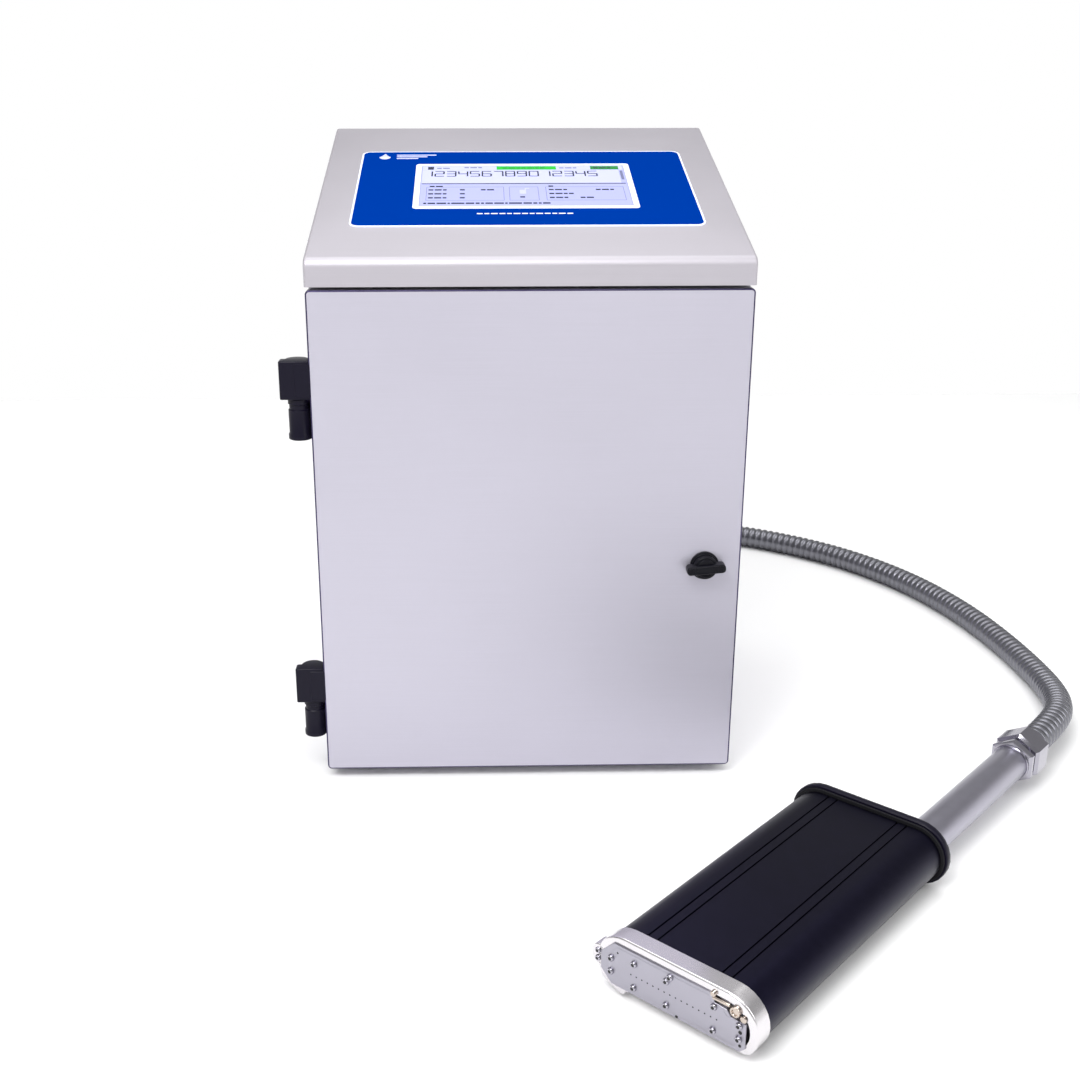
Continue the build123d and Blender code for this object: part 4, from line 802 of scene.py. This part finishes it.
def write_digits(shape, text, start, index):
    """Plain segment digits on the screen, from the middle of the first one's left side."""
    half, low, high = DIGIT_H / 2, SCREEN_TOP + 0.02, SCREEN_TOP + 0.07
    # Each bar's side and height from the digit's centre, and whether it lies flat.
    bars = {
        "a": (0, half, 1), "g": (0, 0, 1), "d": (0, -half, 1), "f": (-1, half / 2, 0),
        "b": (1, half / 2, 0), "e": (-1, -half / 2, 0), "c": (1, -half / 2, 0),
    }
    for k, digit in enumerate(text):
        cx = start[0] + DIGIT_PITCH * k + DIGIT_W / 2
        for name in SEGMENTS[digit]:
            dx, dy, flat = bars[name]
            long = (DIGIT_W if flat else half) + DIGIT_STROKE * 0.2
            size = (long, DIGIT_STROKE) if flat else (DIGIT_STROKE, long)
            centre = (cx + dx * DIGIT_W / 2, start[1] + dy)
            shape.slab(*size, low, high, PANEL, centre, 0.2, 0.01, index, 1)


def add_screen():
    """The touch screen: a lit ground with blank fields, boxes, and a row of digits."""
    names = ["lcd", "lcd_pale", "lcd_dark", "lcd_grey", "lcd_green", "lcd_deep"]
    kind = {name: i for i, name in enumerate(names)}
    screen = Shape()
    screen.slab(SCREEN_W, SCREEN_H, -1.4, SCREEN_TOP, PANEL, (0, SCREEN_UP), 0.5, 0.1)
    left, top = -SCREEN_W / 2, SCREEN_UP + SCREEN_H / 2

    def field(x0, y0, x1, y1, what, lift):
        """A rectangle given as fractions of the screen from its top left corner."""
        w, h = (x1 - x0) * SCREEN_W, (y1 - y0) * SCREEN_H
        centre = (left + (x0 + x1) / 2 * SCREEN_W, top - (y0 + y1) / 2 * SCREEN_H)
        screen.slab(w, h, SCREEN_TOP - 0.02, SCREEN_TOP + lift, PANEL, centre, 0.3, 0.02, kind[what], 1)

    def words(x0, y, x1, tall=0.026, what="lcd_grey", parts=(3.6, 5.2, 2.8)):
        """A line of dashes from x0 to x1, centred on y."""
        write_dashes(screen, PANEL, (left + x0 * SCREEN_W, top - y * SCREEN_H), (x1 - x0) * SCREEN_W,
                     tall * SCREEN_H, SCREEN_TOP, SCREEN_TOP + 0.06, parts, 0.9, kind[what])

    def frame_box(x0, y0, x1, y1):
        """Four thin lines around a group of fields."""
        wide, tall = 0.0022, 0.005
        field(x0, y0, x1, y0 + tall, "lcd_grey", 0.03)
        field(x0, y1 - tall, x1, y1, "lcd_grey", 0.03)
        field(x0, y0, x0 + wide, y1, "lcd_grey", 0.03)
        field(x1 - wide, y0, x1, y1, "lcd_grey", 0.03)

    field(0.005, 0.01, 0.995, 0.105, "lcd_pale", 0.02)
    field(0.03, 0.02, 0.06, 0.095, "lcd_dark", 0.05)
    words(0.075, 0.06, 0.14)
    words(0.21, 0.045, 0.31)
    field(0.37, 0.012, 0.665, 0.1, "lcd_green", 0.05)
    words(0.40, 0.058, 0.64, 0.026, "lcd_deep")
    words(0.68, 0.058, 0.79)
    field(0.835, 0.012, 0.975, 0.1, "lcd_deep", 0.05)
    words(0.85, 0.058, 0.965, 0.022, "lcd_dark")
    field(0.005, 0.11, 0.972, 0.44, "lcd_pale", 0.02)
    write_digits(screen, "123456789012345", (left + 1.5, top - 0.205 * SCREEN_H), kind["lcd_dark"])
    field(0.975, 0.11, 0.993, 0.44, "lcd", 0.04)
    field(0.977, 0.13, 0.991, 0.36, "lcd_grey", 0.06)
    field(0.005, 0.445, 0.993, 0.462, "lcd_dark", 0.04)
    frame_box(0.03, 0.535, 0.40, 0.86)
    frame_box(0.425, 0.535, 0.565, 0.86)
    frame_box(0.60, 0.535, 0.975, 0.86)
    words(0.045, 0.52, 0.13, 0.028, "lcd_dark")
    words(0.615, 0.52, 0.67, 0.028, "lcd_dark")
    for row in range(3):
        y = 0.605 + 0.095 * row
        words(0.04, y, 0.155, 0.03, "lcd_dark")
        words(0.19, y, 0.225, 0.03, "lcd_dark")
        words(0.615, y, 0.715 + 0.03 * (row == 1), 0.03, "lcd_dark")
    words(0.29, 0.605, 0.355, 0.03, "lcd_dark")
    words(0.75, 0.605, 0.765, 0.03, "lcd_dark")
    words(0.84, 0.605, 0.945, 0.03, "lcd_dark")
    words(0.76, 0.795, 0.84, 0.03, "lcd_dark")
    field(0.475, 0.61, 0.505, 0.70, "lcd_pale", 0.05)
    field(0.50, 0.575, 0.505, 0.63, "lcd_pale", 0.05)
    field(0.50, 0.565, 0.522, 0.58, "lcd_pale", 0.05)
    words(0.475, 0.78, 0.525, 0.03, "lcd_dark")
    words(0.02, 0.925, 0.63, 0.032, "lcd_dark", (2.2, 5.5, 7.0, 1.8, 9.5, 6.2, 3.0))
    screen.make("screen_face", [M[name] for name in names], "root", "touch_glass")


# ------------------------------------------------------------------ print head
def stadium(w, h, steps=14):
    """A slot shape as (x, y) points, anticlockwise from the right end's foot."""
    r, reach = h / 2, w / 2 - h / 2
    points = []
    for side in (1, -1):
        for i in range(steps + 1):
            a = -pi / 2 + pi * i / steps
            points.append((side * (reach + r * cos(a)), side * r * sin(a)))
    return points


def body_outline(inset):
    """The head's section: a slot shape with two pairs of fine grooves in each broad face."""
    w, h = HEAD_W - 2 * inset, HEAD_T - 2 * inset
    points = []
    for side in (1, -1):
        r, reach = h / 2, (w - h) / 2
        for i in range(17):
            a = -pi / 2 + pi * i / 16
            points.append((side * (reach + r * cos(a)), side * r * sin(a)))
        for at in (28, 21.5, -21.5, -28):
            for dx, dip in ((0.6, 0), (0.35, 0.9), (-0.35, 0.9), (-0.6, 0)):
                points.append((side * (at + dx), side * (h / 2 - dip)))
    return points


def on_head(x, y, z=0):
    """A local frame at a point of the head's own frame."""
    return HEAD @ Matrix.Translation((x, y, z))


def behind(a):
    """Local height of a section that lies that far behind the head's front."""
    return -a


def button_head(shape, x, y, z, r=2.1, tall=1.6, socket=1.15):
    """A domed screw head on the head's nose, with its hexagon socket as a thin dark plug of painted
    shade.
    """
    at = on_head(x, y, z)
    levels = [(r * 0.96, -0.3), (r, 0), (r, 0.25)]
    for i in range(1, 6):
        a = pi / 2 * i / 6
        levels.append((r * (0.55 + 0.45 * cos(a)), 0.25 + (tall - 0.25) * sin(a)))
    shape.turned(levels, at, 24)
    # The socket is a near-black hexagon laid on the dome: painted shade in place of a recess.
    socket_edge = hexagon(socket * 1.75, 0.1, 1)
    shape.stack(lambda inset: socket_edge, [(0, tall - 0.1), (0, tall + 0.015)], at, index=1)


def nut_loops(flats, z0, z1, chamfer=1.4):
    """Loops of a hexagon nut whose corners are turned away at both ends."""
    turned_r = flats / 2 * 0.985
    loops = []
    for z, limit in ((z0, turned_r), (z0 + chamfer, flats), (z1 - chamfer, flats), (z1, turned_r)):
        loop = []
        for x, y in hexagon(flats, 0.7, 3):
            scale = min(1, limit / hypot(x, y))
            loop.append((x * scale, y * scale, z))
        loops.append(loop)
    return loops


def ring_floor(z):
    """Lowest point of the nose ring at that height: its underside slopes up to the front."""
    return -13.6 - 6.1 * min(max((RING_T - z) / (RING_T - 3), 0), 1)


def plate_outline(inset):
    return [(x * (1 - inset / 48), y * (1 - inset / 14)) for x, y in PLATE_EDGE]


def add_head_body():
    """The extruded housing."""
    body = Shape()
    levels = [(0.3, behind(HEAD_L)), (0, behind(HEAD_L - 0.4)), (0, -0.3), (0.3, 0.02)]
    body.stack(body_outline, levels, HEAD)
    body.make("head_shell", M["anodised"], "root", "head_extrusion", 25)


def add_head_ring():
    """The machined ring around the nose, with an ear at its end."""
    w, h = HEAD_W + 3, HEAD_T + 3
    levels = [(0.3, 0), (0, 0.3), (0, 3), (0, 7.5), (0, RING_T - 1.2)] + eased(1.2, RING_T, 4)
    levels += [(3.5, RING_T), (5, RING_T), (5, RING_T - 0.5), (5, 6.0)]
    loops = []
    for inset, z in levels:
        outline = stadium(w - 2 * inset, h - 2 * inset)
        loops.append([(x, max(y, ring_floor(z)), z) for x, y in outline])
    ring = Shape().loft(loops, HEAD, caps=(True, False))
    ear_levels = [(0.3, 3), (0, 3.3), (0, 11.2)] + eased(0.8, RING_T, 3)
    ring.stack(lambda i: rounded(EAR_W - 2 * i, EAR_H - 2 * i, 5 - i, 8), ear_levels, on_head(*EAR_AT))
    ring.make("head_ring", M["machined"], "root", "head_front_ring")


def add_nozzle_block():
    """The block inside the ring, with the bent tab below the plate."""
    block = Shape()
    block.stack(lambda i: stadium(BLOCK_W - 2 * i, BLOCK_H - 2 * i),
                [(0, -10), (0, 9.2), (0.3, 9.5)], HEAD)
    block.stack(lambda i: [(x * (1 - i / 9), y * (1 - i / 5)) for x, y in TAB_EDGE],
                [(0, 8), (0, 12.2), (0.3, 12.5)], on_head(*TAB_AT))
    block.make("head_block", M["machined"], "root", "nozzle_block")


def add_nozzle_plate():
    """The ground plate with its raised face, and the row of nozzles and four holes as dark discs of
    painted shade.
    """
    plate = Shape()
    plate.stack(plate_outline, [(3, 9.4), (3, 12.02), (0, 12.02), (0, 12.7), (0.3, 13)], HEAD)
    plate.stack(lambda i: [(x * 0.93, y * 0.86 + 0.2) for x, y in plate_outline(i)],
                [(0, 12.9), (0, 13.04), (0.12, 13.12)], HEAD)
    # The nozzles and holes are thin near-black discs on the face: painted shade in place of bores.
    for k in range(NOZZLES):
        nozzle = on_head(NOZZLE_PITCH * (k - (NOZZLES - 1) / 2), 0)
        plate.turned([(0.5, 12.9), (0.5, 13.14)], nozzle, 12, index=1)
    for x, y, r in PLATE_HOLES:
        plate.turned([(r, 12.9), (r, 13.16)], on_head(x, y), 16, index=1)
    plate.make("head_plate", [M["plate"], M["hole"]], "root", "nozzle_plate")


def add_head_screws():
    screws = Shape()
    for x, y in PLATE_SCREWS:
        button_head(screws, x, y, FACE_Z)
    for x, y in EAR_SCREWS:
        button_head(screws, x, y, RING_T, 1.9, 1.3, 1.0)
    screws.make("head_plate_screws", [M["nickel"], M["hole"]], "root", "head_screws")


def add_adjuster():
    """The small group of plated screws and a clip beside the plate."""
    adjuster = Shape()
    knob = [(3.2, 11.9), (3.2, 13.2), (2.9, 13.9), (1.9, 14.1), (1.5, 13.3)]
    adjuster.turned(knob, on_head(39.6, 10.8), 24)
    adjuster.turned([(2.0, 12.4), (2.0, 12.9), (1.6, 13.2)], on_head(44.5, 8.2), 20)
    adjuster.slab(11.5, 2.2, 11.9, 13.4, HEAD, (30.6, 12.6), 1.0, 0.7, steps=4)
    adjuster.turned([(1.7, 11.9), (1.7, 13.5), (1.3, 13.9)], on_head(25.6, 15.2), 20)
    adjuster.make("head_adjuster", M["gold"], "root")


def add_rear_cap():
    """The gasket and the cap at the housing's rear."""
    gasket = Shape()
    levels = [(0.3, behind(207.5)), (0, behind(207.2)), (0, behind(206.3)), (0.3, behind(HEAD_L))]
    gasket.stack(lambda i: stadium(HEAD_W + 4.4 - 2 * i, HEAD_T + 4.4 - 2 * i), levels, HEAD)
    gasket.make("head_gasket", M["rubber"], "root", "head_rear_gasket")
    cap = Shape()
    levels = [(1.0, behind(CAP_END)), (0.3, behind(212.7)), (0, behind(212)), (0, behind(208.2)),
              (0.3, behind(207.7)), (0.6, behind(207.5))]
    cap.stack(lambda i: stadium(HEAD_W + 7.6 - 2 * i, HEAD_T + 7.6 - 2 * i), levels, HEAD)
    cap.make("head_cap", M["black"], "root", "head_rear_cap")


def add_tail_tube():
    """The tail tube and the locknut at its end."""
    at = on_head(TUBE_OFFSET, 0)
    tube = Shape()
    tube.turned([(TUBE_R - 0.2, behind(TUBE_END)), (TUBE_R, behind(TUBE_END - 1)),
                 (TUBE_R, behind(CAP_END + 0.4)), (TUBE_R + 1.4, behind(CAP_END))], at, 64)
    tube.make("head_tube", M["satin"], "root", "tail_tube")
    nut = Shape()
    nut.turned([(12, behind(364.5)), (13.2, behind(364.5)), (13.6, behind(364.1)), (13.6, behind(362.4)),
                (13.2, behind(TUBE_END)), (12, behind(TUBE_END))], at, 64)
    nut.loft(nut_loops(30, behind(370), behind(364.5)), at)
    nut.make("head_locknut", M["nickel"], "root", "tube_locknut")


def add_connector():
    """The conduit fitting that joins the hose to the tail tube."""
    at = on_head(TUBE_OFFSET, 0)
    fitting = Shape()
    fitting.turned([(12.5, behind(374)), (12.5, behind(370))], at, 64)
    fitting.loft(nut_loops(32, behind(394), behind(374), 1.8), at)
    lip = [(11.4, behind(400)), (12.9, behind(400)), (13.5, behind(399.4)), (13.5, behind(394))]
    fitting.turned(lip, at, 64)
    return fitting.make("head_connector", M["nickel"], "root", "conduit_connector")


def add_head():
    """The print head, nose to tail. Gives back the fitting that ends the hose."""
    add_head_body()
    add_head_ring()
    add_nozzle_block()
    add_nozzle_plate()
    add_head_screws()
    add_adjuster()
    add_rear_cap()
    add_tail_tube()
    return add_connector()


# ------------------------------------------------------------------ finishes of the carried-over parts
# Material to the CAD nodes that wear it.
FINISH = {
    "case": "side_panel_left side_panel_right rear_panel",
    "sheet": "base_tray front_frame mid_shelf power_supply lcd_module",
    "rubber": "door_gasket lid_seal rubber_mounts",
    "moulded": "fan_frame fan_rotor ink_tank_cap solvent_cap power_inlet air_pump regulator_knob",
    "black": "power_rocker",
    "steel": "case_screws micro_valves ink_filter",
    "zinc": "lock_cam board_standoffs",
    "brass": "ink_pickup",
    "nickel": "umbilical_gland sensor_sockets",
    "board": "driver_board main_board head_board",
    "tank": "ink_tank solvent_bottle",
    "tubing": "inner_tubing",
    "cast": "regulator_body valve_manifold",
    "gauge": "gauge_glass",
    "red": "gauge_needle",
}


def finish_nodes():
    """Give the CAD nodes that show as they are their materials."""
    for material, names in FINISH.items():
        for name in names.split():
            data = nodes[name].data
            data.materials.clear()
            data.materials.append(M[material])


add_camera()
add_studio()
add_hose(add_head())
add_door()
add_lock()
add_hinges()
cut_window(add_lid())
add_film()
add_bezel()
add_screen()
add_mark()
add_label()
finish_nodes()
